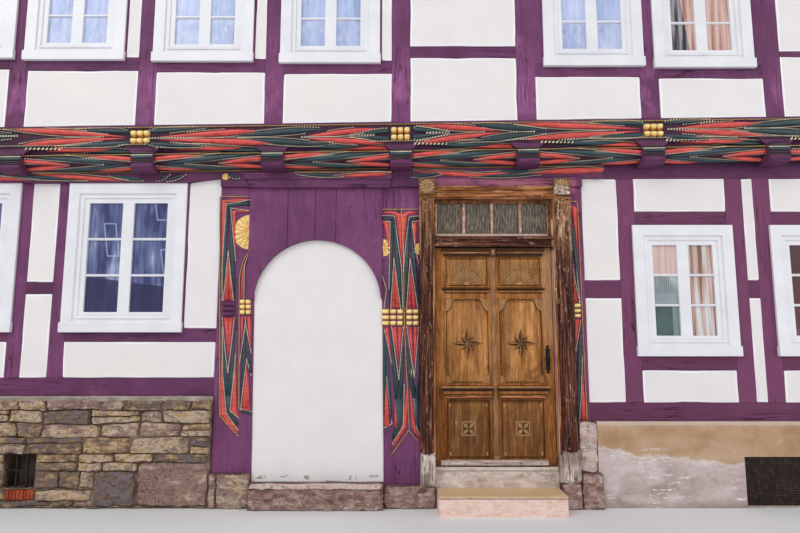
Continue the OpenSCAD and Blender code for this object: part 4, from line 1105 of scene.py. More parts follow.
POST_LIMBS = {
    "red": [
        ((-1736, 2234, 4), (-1732, 2587, 33), (-1733, 2893, 48), (-1609, 2904, 37), (-1479, 2915, 7)),
        ((-1599, 2308, 4), (-1621, 2569, 26), (-1633, 2794, 40), (-1549, 2794, 29), (-1475, 2794, 7)),
        ((-1680, 1919, 51), (-1673, 2327, 4)), ((-1629, 1919, 51), (-1669, 2327, 4)),
        ((-1674, 1751, 48), (-1642, 1375, 4)), ((-1627, 1751, 48), (-1639, 1375, 4)),
        ((-1702, 1437, 4), (-1691, 1137, 29), (-1669, 849, 55), (-1606, 767, 48), (-1523, 671, 22)),
        ((-1568, 1402, 4), (-1566, 1137, 26), (-1571, 875, 62), (-1523, 826, 18)),
        ((-1488, 2336, 7), (-1529, 2179, 22), (-1528, 1941, 26)), ((-1460, 2014, 6), (-1456, 1941, 33)),
        ((-1519, 1760, 33), (-1520, 1473, 4)), ((-1457, 1760, 44), (-1427, 1437, 7)),
        ((-1460, 1295, 4), (-1457, 1084, 51), (-1456, 883, 92)),
        ((-182, 2780, 18), (-82, 2783, 29), (-13, 2761, 43), (5, 2503, 25), (23, 2247, 4)),
        ((-182, 2678, 25), (-133, 2678, 40), (-114, 2503, 25), (-106, 2283, 4)),
        ((-66, 1847, 36), (-52, 2265, 4)), ((-23, 1847, 47), (-49, 2265, 4)),
        ((177, 2776, 18), (82, 2780, 32), (42, 2752, 47), (31, 2503, 22), (27, 2247, 4)),
        ((176, 2678, 22), (140, 2672, 36), (147, 2503, 22), (157, 2320, 4)), ((89, 1847, 36), (103, 2192, 4)),
        ((138, 1847, 43), (110, 2192, 4)), ((-130, 1659, 36), (-79, 1321, 4)),
        ((-57, 1659, 47), (-19, 1321, 4)), ((0, 1659, 43), (-12, 1321, 4)), ((94, 1659, 43), (129, 1287, 4)),
        ((151, 1659, 40), (136, 1287, 4)), ((-132, 1130, 4), (-128, 941, 40), (-120, 736, 61)),
        ((-47, 1027, 5), (-35, 719, 43)), ((61, 1079, 7), (58, 907, 36), (44, 736, 43), (-61, 550, 22)),
        ((97, 1113, 7), (114, 907, 29), (127, 736, 40), (176, 618, 18)),
        ((1672, 2844, 45), (1715, 2825, 34), (1727, 2538, 15), (1730, 2386, 4)),
        ((1668, 2368, 4), (1671, 2142, 30), (1688, 1901, 67)),
        ((1697, 1735, 63), (1674, 1516, 26), (1666, 1407, 4)),
        ((1737, 1245, 4), (1732, 977, 34), (1730, 782, 56)),
    ],
    "green": [
        ((-1715, 1919, 11), (-1711, 2308, 44), (-1696, 2847, 29)),
        ((-1597, 1919, 18), (-1629, 2308, 44), (-1677, 2847, 26)),
        ((-1696, 2847, 26), (-1589, 2866, 37), (-1478, 2876, 55)),
        ((-1713, 1733, 6), (-1669, 1225, 48), (-1633, 1014, 62)),
        ((-1584, 1652, 7), (-1601, 1225, 44), (-1615, 1014, 62)),
        ((-1622, 1031, 81), (-1620, 875, 48), (-1572, 805, 40), (-1524, 745, 29)),
        ((-1480, 1679, 6), (-1491, 1313, 40), (-1501, 927, 18)),
        ((-1476, 1679, 6), (-1446, 1402, 33), (-1420, 1225, 26)), ((-1503, 866, 18), (-1405, 849, 37)),
        ((-182, 2715, 43), (-69, 2724, 29)), ((-98, 1842, 18), (-92, 2229, 36), (-69, 2715, 25)),
        ((14, 1842, 22), (-18, 2229, 43), (-58, 2715, 29)), ((177, 2724, 25), (100, 2718, 25)),
        ((41, 1842, 22), (63, 2229, 40), (91, 2706, 25)), ((179, 1886, 18), (144, 2229, 43), (104, 2706, 25)),
        ((-151, 1638, 5), (-150, 1252, 29), (-148, 838, 14)),
        ((-142, 1620, 7), (-111, 1165, 43), (-82, 787, 22)),
        ((-89, 1602, 7), (-53, 1252, 43), (-19, 992, 61)), ((35, 1567, 11), (18, 1252, 36), (-2, 992, 54)),
        ((-11, 1027, 87), (-9, 770, 61), (-61, 618, 40)), ((48, 1602, 7), (88, 1252, 40), (138, 992, 61)),
        ((182, 1426, 14), (174, 1165, 25), (156, 992, 47)), ((151, 1010, 76), (157, 753, 40), (183, 685, 22)),
        ((1674, 2796, 19), (1691, 2576, 49), (1716, 2255, 37), (1735, 1882, 11)),
        ((1734, 1643, 7), (1712, 1407, 45), (1690, 1066, 45), (1671, 800, 26)),
    ],
}

POST_YELLOW_ROPES = [
    ((-1480, 2942), (-1777, 2942), (-1697, 831), (-1522, 647)),
    ((-1467, 2410), (-1524, 2308), (-1557, 2142), (-1519, 909)), ((-182, 2813), (177, 2813)),
    ((15, 2813), (36, 2320), (39, 1851), (53, 1426), (70, 1079), (87, 702), (-74, 483)),
    ((87, 689), (174, 592)),
    ((1674, 2892), (1730, 2892), (1748, 2863), (1753, 2255), (1754, 1698), (1757, 1155), (1760, 782)),
]

POST_CREAM_ROPES = [
    ((-1479, 2908), (-1711, 2864), (-1723, 2494), (-1728, 2234), (-1716, 1919)),
    ((-1707, 1919), (-1691, 2124), (-1674, 2401), (-1637, 2124), (-1606, 1919)),
    ((-1475, 2798), (-1665, 2825), (-1634, 2569), (-1599, 2308)),
    ((-1708, 1751), (-1670, 1437), (-1637, 1225), (-1616, 1437), (-1592, 1751)),
    ((-1706, 1652), (-1683, 1225), (-1639, 857), (-1524, 702)),
    ((-1569, 1402), (-1583, 1137), (-1603, 875), (-1519, 811)), ((-1477, 2373), (-1513, 2253), (-1506, 1941)),
    ((-1486, 1751), (-1484, 1688), (-1526, 1331)), ((-1480, 1688), (-1421, 1419)),
    ((-1504, 892), (-1462, 1357), (-1414, 1207)), ((-1504, 892), (-1405, 869)),
    ((-182, 2752), (-55, 2746), (-24, 2503), (14, 2247), (27, 1851)),
    ((-182, 2696), (-96, 2691), (-103, 2320), (-106, 2030)), ((-89, 1842), (-58, 2329), (5, 1842)),
    ((177, 2746), (91, 2739), (60, 2503), (32, 2192)), ((182, 2696), (118, 2687), (145, 2448), (180, 2283)),
    ((63, 1842), (99, 2320), (170, 1851)), ((-80, 1659), (-12, 1165), (32, 1659)),
    ((66, 1659), (136, 1182), (178, 1655)), ((40, 1113), (30, 736), (-69, 575)),
    ((106, 1252), (152, 736), (179, 660)), ((-128, 1182), (-75, 753), (-148, 719)),
    ((-148, 1629), (-79, 1321)), ((-180, 2174), (-131, 2030), (-152, 1851)),
    ((1671, 2748), (1708, 2292), (1736, 1901)), ((1663, 2443), (1690, 2142), (1731, 1901)),
    ((1733, 1716), (1687, 1479), (1657, 1262)), ((1738, 1371), (1710, 977), (1689, 800)),
]

POST_KNOTS = [
    (-1546, 1878, -1497, 1929), (-1492, 1878, -1439, 1929), (-1544, 1829, -1495, 1878),
    (-1490, 1829, -1437, 1878), (-1543, 1778, -1494, 1827), (-1488, 1778, -1436, 1827),
    (-175, 1785, -104, 1833), (-98, 1785, -36, 1833), (-30, 1785, 29, 1833), (59, 1785, 118, 1833),
    (121, 1785, 182, 1833), (-175, 1730, -103, 1774), (-98, 1730, -36, 1774), (-30, 1730, 29, 1774),
    (59, 1730, 118, 1774), (121, 1730, 182, 1774), (-174, 1673, -103, 1721), (-98, 1673, -36, 1721),
    (-30, 1673, 28, 1721), (59, 1673, 118, 1721), (121, 1673, 182, 1721), (1660, 1845, 1745, 1888),
    (1658, 1797, 1743, 1836), (1657, 1748, 1741, 1788),
]

POST_ROLLS = [
    (-1721, 1860, -1582, 1905), (-1720, 1811, -1580, 1854), (-1718, 1760, -1578, 1805),
]


def metres(sizes):
    """A table of millimetres in metres."""
    return [metres(size) if isinstance(size, (list, tuple)) else size / 1000 for size in sizes]


def rods(table, fuller):
    """The rows of a table of spindles: colour, start, end, width, swell and which ends are blunt."""
    for kind, x0, v0, x1, v1, width, swell, *blunt in table:
        start, end = (x0 / 1000, v0 / 1000), (x1 / 1000, v1 / 1000)
        yield kind, start, end, width / 1000 * fuller, swell, ("start" in blunt, "end" in blunt)


# Pieces


def bays():
    """Start and end of each stretch between two beam heads."""
    return [(a + BEAM_W / 2, b - BEAM_W / 2) for a, b in zip(BEAM_X, BEAM_X[1:])]


def make_timber_frame():
    """Hewn and painted posts, rails, plates, boards and beams."""
    for name, nodes, grain, sizes in (
        ("upper_post_timbers", ["upper_posts"], "Z", {}),
        ("upper_rail_timbers", ["upper_rails", "upper_plates"], "X", {}),
        ("ground_post_timbers", ["ground_posts"], "Z", {}),
        ("ground_rail_timbers", ["ground_rails", "ground_sills"], "X", {}),
        ("gate_post_timbers", ["gate_posts"], "Z", {"bevel": 0.004}),
        ("gate_board_timbers", ["gate_boards"], "Z", {"bevel": 0.003, "wobble": 0.002}),
        ("gate_lintel_planks", ["gate_lintel"], "X", {"bevel": 0.004}),
        ("back_post_timbers", ["back_posts"], "Z", {"step": 0.3}),
        ("back_rail_timbers", ["back_rails", "back_sills"], "X", {"step": 0.3}),
    ):
        hewn(name, nodes, painted_timber(grain), "painted_timber", **sizes)
    for node in ("floor_beams", "ground_plates", "plain_fillers"):
        dress(node, painted_timber("X"))
    dress("carved_sill", carved_ground("sill_ground", 0.045, 0.262))
    dress("filler_timbers", carved_ground("filler_ground", -0.18, 0.0))


def dress(node, material):
    """Gives a CAD node its finish."""
    slots = NODES[node].data.materials
    if not slots:
        slots.append(material)
    for i in range(len(slots)):
        slots[i] = material


def make_walls():
    """Plaster panels a little proud of the timber, with hand-drawn edges; render and bare wood elsewhere."""
    rng = random.Random(3)
    panels = Shape()
    for node in ("upper_infill", "ground_infill"):
        for outline, face in fronts(node):
            plaster_panel(panels, outline, face, rng)
        dress(node, painted_timber("Z"))
    panels.build("plaster_panels", plaster(), "infill_plaster")
    for node in ("back_infill", "gate_infill"):
        dress(node, plaster())
    dress("party_walls", render_coat())
    for node in ("attic_beams", "attic_floor", "rafters", "upper_floor", "ground_floor"):
        dress(node, sawn_wood())


def loose_parts(node):
    """The points of each separate solid of a CAD node."""
    work = bmesh.new()
    work.from_mesh(NODES[node].data)
    bmesh.ops.remove_doubles(work, verts=work.verts, dist=0.0001)
    left, found = set(work.verts), []
    while left:
        queue, part = [left.pop()], []
        while queue:
            vert = queue.pop()
            part.append(vert.co.copy())
            for edge in vert.link_edges:
                other = edge.other_vert(vert)
                if other in left:
                    left.remove(other)
                    queue.append(other)
        found.append(part)
    work.free()
    return sorted(found, key=lambda part: (min(p.x for p in part), min(p.z for p in part)))


def fronts(node):
    """The outline in x and z, and the y, of the front of each solid."""
    for part in loose_parts(node):
        face = min(p.y for p in part)
        flat = {(round(p.x, 4), round(p.z, 4)) for p in part if p.y < face + 0.001}
        middle = [sum(p[i] for p in flat) / len(flat) for i in (0, 1)]
        yield sorted(flat, key=lambda p: math.atan2(p[1] - middle[1], p[0] - middle[0])), face


def plaster_panel(shape, outline, face, rng):
    """A panel with rounded corners and wavering edges."""
    path = []
    count = len(outline)
    for i, corner in enumerate(outline):
        before, after = Vector(outline[i - 1]), Vector(outline[(i + 1) % count])
        here = Vector(corner)
        room = min((before - here).length, (after - here).length) * 0.3
        radius = min(room, rng.uniform(0.004, 0.018))
        start = here + (before - here).normalized() * radius
        end = here + (after - here).normalized() * radius
        path += [start.lerp(here, t).lerp(here.lerp(end, t), t) for t in (0, 0.25, 0.5, 0.75)]
        length = (after - here).length - radius
        pieces = max(1, int(length / 0.07))
        stop = after + (here - after).normalized() * 0.03
        path += [end.lerp(stop, k / pieces) for k in range(1, pieces)]
    middle = sum(path, Vector((0, 0))) / len(path)
    rows = []
    for inset, out in ((-0.004, -0.004), (0.001, 0.005), (0.012, 0.008), (0.024, 0.008)):
        row = []
        for point in path:
            wave = ripple(point.x * 3.1, 7, point.y * 3.1) * 0.011
            wave += ripple(point.x * 13, 2, point.y * 13) * 0.004
            inward = (middle - point).normalized()
            moved = point + inward * (inset + wave)
            row.append((moved.x, face - out, moved.y))
        rows.append(row)
    # The three outer rings carry tone 1 for the painted highlight along the rounded edge, the middle tone 0
    shape.grid(rows, 0, [1.0] * (3 * len(path)) + [0.0] * len(path), closed=True)
    shape.add(rows[-1], [tuple(range(len(path)))])


def square(x0, x1, z0, z1):
    """Corners of an upright rectangle, from its lower left one round."""
    return ((x0, z0), (x1, z0), (x1, z1), (x0, z1))


ROUGH_STEPS = (0, 0.04, 0.14, 0.3, 0.5, 0.7, 0.86, 0.96, 1)


def stone(shape, face, corners, bulge, rng, tone, flat, places=ROUGH_STEPS):
    """A stone between four corners, with a broken front that falls off steeply at its joints."""
    quad = [Vector(corner) for corner in corners]
    middle = sum(quad, Vector((0, 0))) / 4
    seed = rng.random() * 40
    rows = []
    for t in places:
        row = []
        for s in places:
            u, v = 2 * s - 1, 2 * t - 1
            spot = quad[0].lerp(quad[1], s).lerp(quad[3].lerp(quad[2], s), t)
            spot = spot.lerp(middle, 0.07 * abs(u * v) ** 4)
            spot += 0.011 * Vector((ripple(spot.y * 12, 3, spot.x * 4), ripple(spot.x * 12, 8, spot.y * 4)))
            spot += 0.011 * Vector((ripple(spot.y * 38, 5, spot.x * 9), ripple(spot.x * 38, 1, spot.y * 9)))
            rough = 0.55 * ripple(spot.x * 7, seed, spot.y * 11)
            rough += 0.45 * ripple(spot.x * 19, seed, spot.y * 30)
            rough += 0.2 * ripple(spot.x * 50, seed, spot.y * 60)
            edge = max(abs(u), abs(v))
            depth = -0.012 if edge > 0.99 else bulge * ((1 - edge ** 8) * (1 - flat) + flat + rough)
            row.append((spot.x, face - depth, spot.y))
        rows.append(row)
    shape.grid(rows, 0, tone)


def lay_stones(shape, face, span, height, holes, rng, course, length, bulge, joint, flat):
    """Lays irregular courses of stones over a wall face, leaving the holes open."""
    edges = [z for hole in holes for z in hole[2:] if height[0] < z < height[1]]
    fixed = sorted({*height, *edges})

    def bed(z, x):
        """A course's bed wanders, but not along a hole or an edge of the wall."""
        nearest = min(abs(z - level) for level in fixed)
        return z + ripple(x * 2.3, z * 9, 4) * min(0.026, nearest)

    rows = []
    for bottom, top in zip(fixed, fixed[1:]):
        count = max(1, round((top - bottom) / course))
        shares = [(i + rng.uniform(-0.28, 0.28)) / count for i in range(1, count)]
        cuts = [bottom, *sorted(bottom + (top - bottom) * share for share in shares), top]
        rows += list(zip(cuts, cuts[1:]))
    for bottom, top in rows:
        stretches, start = [], span[0]
        for hole in sorted(h for h in holes if h[2] < top - 0.001 and h[3] > bottom + 0.001):
            stretches.append((start, hole[0]))
            start = hole[1]
        stretches.append((start, span[1]))
        for left, right in stretches:
            x, slant = left, 0.0
            while x < right - 0.02:
                end, next_slant = x + rng.uniform(*length), rng.uniform(-0.016, 0.016)
                if right - end < length[0] * 0.7:
                    end, next_slant = right, 0.0
                cuts = [0.0, 1.0]
                if top - bottom > course * 0.85 and rng.random() < 0.3:
                    cuts = [0.0, rng.uniform(0.35, 0.65), 1.0]
                for low_part, high_part in zip(cuts, cuts[1:]):
                    corners = []
                    for part, side in ((low_part, 0), (low_part, 1), (high_part, 1), (high_part, 0)):
                        lean = (slant, next_slant)[side] * (2 * part - 1)
                        spot_x = (x + joint / 2, end - joint / 2)[side] + lean
                        inset = joint / 2 if part == low_part else -joint / 2
                        spot_z = bed(bottom, spot_x) * (1 - part) + bed(top, spot_x) * part
                        corners.append((spot_x, spot_z + inset))
                    out = bulge * rng.uniform(0.6, 1.3)
                    stone(shape, face, corners, out, rng, rng.uniform(0.0, 1.0), flat)
                x, slant = end, next_slant


def opening_of(node):
    """The x and z at which an opening starts and ends."""
    lo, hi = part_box(node)
    return (lo[0], hi[0], lo[2], hi[2])


def make_stonework():
    """Rubble, bricks and mortar of the left plinth, broken footings, worn render on the right plinth."""
    rng = random.Random(23)
    cellar = opening_of("cellar_bars")
    lo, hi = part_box("plinth_front_left")
    bricks = (-3.640, -3.372, 0.068, 0.172)
    large = [(-2.83, -2.45, 0.02, 0.33, -0.15), (-2.43, hi[0] - 0.004, 0.02, 0.41, 1.15)]
    fine = tuple(0.5 - 0.5 * math.cos(math.pi * k / 16) for k in range(17))
    shape = Shape()
    holes = [cellar, bricks] + [stone_box[:4] for stone_box in large]
    course, span, height = size("course_height"), (lo[0], hi[0]), (0.012, hi[2] - 0.03)
    lay_stones(shape, lo[1], span, height, holes, rng, course, (0.14, 0.56), 0.030, 0.006, 0.45)
    for x0, x1, z0, z1, tone in large:
        corners = square(x0 + 0.006, x1 - 0.006, z0 + 0.004, z1 - 0.004)
        stone(shape, lo[1], corners, 0.032, rng, tone, 0.6, fine)
    shape.build("rubble_face", sandstone("rubble"), "rubble_stone", smooth=False)
    red = Shape()
    for k in range(8):
        width = (bricks[1] - bricks[0]) / 8
        left = bricks[0] + k * width
        corners = square(left + 0.003, left + width - 0.003, bricks[2] + 0.005, bricks[3] - 0.005)
        stone(red, lo[1], corners, 0.012, rng, rng.random(), 0.9)
    red.build("cellar_bricks", brick_clay(), "rubble_stone")
    mortar = Shape()
    top = (hi[2] - 0.045, hi[2] - 0.002)
    lay_stones(mortar, lo[1], span, top, [], rng, 0.05, (0.5, 1.4), 0.018, 0.0, 0.7)
    mortar.build("plinth_mortar", mortar_coat(), "rubble_stone")
    dress("plinth_front_left", mortar_coat())
    for node, kind in (
        ("plinth_back", "rubble"), ("footing_stones", "grey"),
        ("door_step", "step"), ("threshold_stone", "dressed"),
    ):
        dress(node, sandstone(kind))
    footings, ochre = Shape(), Shape()
    for outline, face in fronts("footing_stones"):
        xs, zs = [p[0] for p in outline], [p[1] for p in outline]
        x0, x1, z0, z1 = min(xs) + 0.004, max(xs) - 0.004, min(zs) + 0.004, max(zs) - 0.004
        if x1 - x0 > 1:
            stone(footings, face, square(x0, x1, z1 - 0.034, z1 + 0.010), 0.020, rng, 2.2, 0.8, fine)
            stone(footings, face, square(x0, x1, z0, z1 - 0.038), 0.016, rng, 0.3, 0.7, fine)
        elif x1 < -1.3:
            stone(ochre, face, square(x0, x1, z0, z1), 0.020, rng, 0.98, 0.6, fine)
        else:
            tone = 1.3 if x0 > 1.6 and z0 > 0.3 else 0.5
            stone(footings, face, square(x0, x1, z0, z1), 0.020, rng, tone, 0.6, fine)
    footings.build("footing_faces", sandstone("grey"), "dressed_stone", smooth=False)
    ochre.build("footing_faces_left", sandstone("rubble"), "dressed_stone", smooth=False)
    dress("plinth_front_right", worn_render())
    dress("plinth_sides", render_coat())
    dress("cellar_bars", black_iron())
    dress("cellar_grille", black_iron())
    make_grille()


def make_grille():
    """The woven wire of the right cellar opening."""
    lo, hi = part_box("cellar_grille")
    wires = Shape()
    for axis in (0, 2):
        count = int((hi[axis] - lo[axis]) / 0.022)
        for k in range(count + 1):
            middle = lo[axis] + (hi[axis] - lo[axis]) * k / count
            corner, far = [lo[0], lo[1] - 0.005, lo[2]], [hi[0], lo[1] + 0.001, hi[2]]
            corner[axis], far[axis] = middle - 0.0016, middle + 0.0016
            add_box(wires, corner, far)
    wires.build("cellar_wires", rusty_wire(), "black_iron", smooth=False)


def panes(node):
    """The box of each separate pane of a glass node."""
    return [
        tuple(tuple(end(p[axis] for p in part) for axis in range(3)) for end in (min, max))
        for part in loose_parts(node)
    ]


def view_behind(lo, hi):
    """A front pane's finish: painted reflections of the sky above and of the houses across the street at the
    left, curtains and a dark room at the right.
    """
    x = (lo[0] + hi[0]) / 2
    if lo[2] > 3.5:
        return "sky" if not 2.445 < x < 3.65 else "half" if x < 3.05 else "cloth"
    if x < 0:
        return "dusk"
    return "room" if x > 3.6 else "street" if x < 2.78 else "drape"


def make_windows():
    """Glazing bars, drips and sashes in white gloss, and panes that differ with what is behind them."""
    for node, side in (("front_glass", -1), ("back_glass", 1)):
        bars, drip_shadows = Shape(), Shape()
        for lo, hi in panes(node):
            face = lo[1] if side < 0 else hi[1]
            for k in (1, 2):
                z = lo[2] + (hi[2] - lo[2]) * k / 3
                chamfered_bar(bars, lo[0] - 0.004, hi[0] + 0.004, face, z, side)
            if side < 0:
                add_drip(bars, lo, hi, face)
                # A dark strip under each sash: the painted shadow of its drip
                shadow_y = face + UPPER_DRIP - 0.003
                corner, far = (lo[0] - 0.05, shadow_y, lo[2] - 0.070), (hi[0] + 0.05, shadow_y + 0.006, lo[2] - 0.060)
                add_box(drip_shadows, corner, far)
        bars.build(node.replace("glass", "bars"), white_gloss(), "white_paint", smooth=False)
        if side < 0:
            drip_shadows.build("window_seals", painted_drip_shadow(), "white_paint", smooth=False)
    kinds = ["sky", "dusk", "cloth", "half", "street", "room", "drape"]
    glass = Shape()
    for lo, hi in panes("front_glass"):
        add_box(glass, lo, hi, kinds.index(view_behind(lo, hi)))
        glass.tones[-8:] = [float(p[2] > lo[2] + 0.01) for p in glass.points[-8:]]
    finishes = [window_glass(kind) for kind in kinds]
    piece = glass.build("front_panes", finishes, "window_glass", smooth=False, replaced=["front_glass"])
    across = piece.data.attributes.new("across", "FLOAT", "POINT")
    boxes = panes("front_glass")
    across.data.foreach_set("value", [
        max((v.co.x - lo[0]) / (hi[0] - lo[0]) for lo, hi in boxes
            if lo[0] - 0.001 <= v.co.x <= hi[0] + 0.001 and lo[2] - 0.001 <= v.co.z <= hi[2] + 0.001)
        for v in piece.data.vertices
    ])
    hewn("front_sashes", ["front_windows"], white_gloss(), "white_paint", bevel=0.003, wobble=0.0, step=9)
    dress("back_windows", white_gloss())
    dress("back_glass", window_glass("sky"))
    dress("transom_glass", ribbed_glass())


@finish_once
def painted_drip_shadow():
    """The dark line under a sash, the painted shadow of its drip."""
    f = Finish("window_seal")
    f.tint = f.mix(f.noise(20), (44, 40, 48), (76, 72, 80))
    return f.finish(0.7)


def add_drip(shape, lo, hi, face):
    """The weather moulding along the foot of a sash."""
    z = lo[2] - 0.062
    out = face + UPPER_DRIP
    profile = [(0.0, 0.024), (0.010, 0.020), (0.018, 0.006), (0.018, 0.0), (0.0, 0.0)]
    rows = [[(x, out - d, z + h) for d, h in profile] for x in (lo[0] - 0.058, hi[0] + 0.058)]
    shape.grid(rows, closed=True)
    for row in rows:
        shape.add(row, [tuple(range(5))])


def chamfered_bar(shape, x0, x1, face, z, side, width=0.026, depth=0.02):
    """A glazing bar: flat at the glass and narrower in front."""
    wide, thin = width / 2, width / 4
    profile = [(0.0, -wide), (0.4, -wide), (1.0, -thin), (1.0, thin), (0.4, wide), (0.0, wide)]
    rows = [[(x, face + side * (depth * d - 0.002), z + h) for d, h in profile] for x in (x0, x1)]
    shape.grid(rows, closed=True)


def make_roof():
    """Rows of clay tiles on both slopes, each row half a tile on from the one above."""
    pitch = math.radians(48)
    for node, side in (("roof_front", -1), ("roof_back", 1)):
        lo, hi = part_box(node)
        normal = Vector((0, side * math.sin(pitch), math.cos(pitch)))
        down = Vector((0, side * math.cos(pitch), -math.sin(pitch)))
        offset = max(normal.dot(v.co) for v in NODES[node].data.vertices)
        crest = Vector((0, 0, offset / math.cos(pitch)))
        length = (hi[1] - lo[1]) / math.cos(pitch)
        rng = random.Random(5)
        tiles = Shape()
        rows = int(length / size("tile_reach"))
        count = int((hi[0] - lo[0]) / size("tile_width"))
        width = (hi[0] - lo[0]) / (count + 0.5)
        for r in range(rows):
            first, extra = (1.0, 0) if r % 2 else (0.25, 1)
            for c in range(count + extra):
                x, start = lo[0] + width * (c + first), 0.06 + r * length / rows
                tile(tiles, crest, down, normal, x, start, width * 0.94, length / rows, rng)
        tiles.build(node + "_tiles", roof_clay(), "roof_tile", smooth=False)
        dress(node, roof_clay())
    dress("ridge_tiles", roof_clay())


def tile(shape, crest, down, normal, x, start, width, reach, rng):
    """A plain clay tile with a rounded tail."""
    tone = rng.random()
    lift = 0.012 + rng.uniform(0, 0.004)
    end = reach * 1.08 + rng.uniform(-0.004, 0.004)
    side = [(0.5, 0.0), (0.5, 0.72), (0.32, 0.93)]
    outline = [(-width * u, end * d) for u, d in side] + [(0, end)]
    outline += [(width * u, end * d) for u, d in side[::-1]]
    rows = []
    for height in (0.0, 1.0):
        row = []
        for u, d in outline:
            out = height * (lift + 0.004 + 0.010 * d / end) - 0.002
            row.append(crest + Vector((x + u, 0, 0)) + down * (start + d) + normal * out)
        rows.append(row)
    shape.grid(rows, 0, tone)
    shape.add(rows[1], [tuple(range(7))], 0, tone)


def make_sill_carving():
    """The carved sill: nested red and green spindles, ropes and three knots of beads."""
    shapes = {"red": Shape(), "green": Shape()}
    cream, thick = [], []
    for kind, start, end, width, swell, blunt in rods(SILL_SPINDLES, 1.12):
        steps = max(10, int(abs(end[0] - start[0]) / 0.06))
        spindle(shapes[kind], sill_face, start, end, width, width * 0.55, swell, blunt, steps)
        outward = 1 if start[1] + end[1] > 0.32 else -1
        inner, outer = ((0.0, 0.78), (0.34, 0.66)) if kind == "red" else ((0.16, 0.8), (0.04, 0.94))
        if True in blunt:
            inner = (0.4, 1.0) if blunt[0] else (0.0, 0.6)
        for side, shares in ((-outward, inner), (outward, outer)):
            cream.append(edge_route(sill_face, start, end, width, swell, side, steps, shares))
    for a, b in bays():
        middle, half = (a + b) / 2, (b - a) / 2
        kinds = ("green", "red") if -1 < middle < 2 else ("red", "green")
        for kind, x0, v0, x1, v1 in ((kinds[0], -0.62, 0.40, 0.66, 0.92), (kinds[1], 0.12, 0.18, 0.97, 0.60)):
            spindle(shapes[kind], keel_face, (middle + half * x0, v0), (middle + half * x1, v1), 0.72, 0.042)
        thick.append(route(keel_face, (middle - half * 0.94, 0.92), (middle - half * 0.34, 0.78), 12, 0.014))
        for x0, v0, x1, v1 in ((-0.50, 0.10, 0.24, 0.30), (0.30, 0.96, 0.98, 0.62), (-0.36, 0.80, 0.30, 1.0)):
            cream.append(route(keel_face, (middle + half * x0, v0), (middle + half * x1, v1), 16, 0.010))
    for kind, shape in shapes.items():
        shape.build(f"sill_{kind}s", carving_paint(kind), "carved_timber")
    ropes("sill_ropes", cream + [route(sill_face, (-4.98, 0.084), (4.98, 0.084), 60, 0.002)])
    ropes("keel_ropes", thick, sizes=KEEL_ROPE)
    ropes("sill_yellow_ropes", [route(sill_face, (-4.98, 0.253), (4.98, 0.253), 60, 0.003)], "yellow")
    make_knots()


def edge_route(surface, start, end, width, swell, side, steps, shares=(0.0, 1.0)):
    """The line along one edge of a spindle."""
    (x0, v0), (x1, v1) = start, end
    along = Vector((x1 - x0, v1 - v0)).normalized()
    across = Vector((-along.y, along.x)) * (1 if along.x > 0 else -1) * side
    points = []
    for i in range(steps + 1):
        t = shares[0] + (shares[1] - shares[0]) * i / steps
        reach = fullness(t, swell) * width / 2 + 0.009
        x, v = x0 + (x1 - x0) * t + across.x * reach, v0 + (v1 - v0) * t + across.y * reach
        points.append(surface(x, v, 0.004))
    return points


def bead(shape, surface, x, v, wide, tall, out, slot=0):
    """A rounded pillow of gold."""
    rows, light = [], []
    for k in range(7):
        row = []
        for i in range(9):
            a, b = i / 4 - 1, k / 3 - 1
            u = a * (1 - 0.05 * b * b)
            w = b * (1 - 0.08 * a * a)
            lift = out * max(0, (1 - a ** 8) * (1 - b ** 2)) ** 0.5
            row.append(surface(x + u * wide / 2, v + w * tall / 2, lift - 0.003))
            # Painted light: tones for a painted highlight a little above the middle and painted shade towards
            # the edges
            light.append(1.0 - 1.5 * a ** 4 - 1.7 * (b - 0.25) ** 2)
        rows.append(row)
    shape.grid(rows, slot, light)


def make_knots():
    """Three knots of six gold beads on the sill."""
    gold = Shape()
    for x in KNOT_X:
        for row in range(2):
            for column in range(3):
                bead(gold, sill_face, x + (column - 1) * 0.063, 0.118 + row * 0.073, 0.058, 0.067, 0.048)
    gold.build("sill_knots", carving_paint("gold"), "carved_timber")


def make_filler_carving():
    """Red and green spindles with ropes on the rounded fillers between the beam heads."""
    shapes, cream, yellow = {"red": Shape(), "green": Shape()}, [], []
    spindles = (
        ("red", (0.0, 0.70), (0.42, 0.50), 0.046, 0.35, (True, False)),
        ("red", (0.0, 0.22), (0.42, 0.44), 0.046, 0.35, (True, False)),
        ("green", (0.10, 0.90), (0.95, 0.50), 0.056, 0.5, (False, False)),
        ("green", (0.10, 0.06), (0.95, 0.44), 0.056, 0.5, (False, False)),
        ("red", (0.52, 0.90), (1.0, 0.74), 0.048, 0.7, (False, True)),
        ("red", (0.52, 0.06), (1.0, 0.22), 0.048, 0.7, (False, True)),
    )
    lines = (
        ((0.02, 0.82), (0.72, 0.5)), ((0.02, 0.12), (0.72, 0.46)), ((0.4, 0.96), (0.99, 0.6)),
        ((0.4, 0.02), (0.99, 0.36)), ((0.0, 0.58), (0.40, 0.48)), ((0.55, 0.80), (1.0, 0.64)),
    )
    for (a, b), forward in zip(bays(), (True, True, False, False, False, True, False, True)):
        start, end = (a, b) if forward else (b, a)
        for kind, (t0, v0), (t1, v1), width, swell, blunt in spindles:
            first, last = (start + (end - start) * t0, v0), (start + (end - start) * t1, v1)
            spindle(shapes[kind], filler_face, first, last, width, 0.026, swell, blunt, aspect=0.196)
        for (t0, v0), (t1, v1) in lines:
            first, last = (start + (end - start) * t0, v0), (start + (end - start) * t1, v1)
            cream.append(route(filler_face, first, last, 14, 0.006))
        yellow.append(route(filler_face, (a, 0.95), (b, 0.95), 12, 0.006))
    for kind, shape in shapes.items():
        shape.build(f"filler_{kind}s", carving_paint(kind), "carved_timber")
    ropes("filler_ropes", cream)
    ropes("filler_top_rope", yellow, "yellow")


def head_face(x, v, out):
    """The ends of the floor beams, where v starts under the sill."""
    return (x, HEAD_FACE - out, SILL_Z + rise(x) + v)


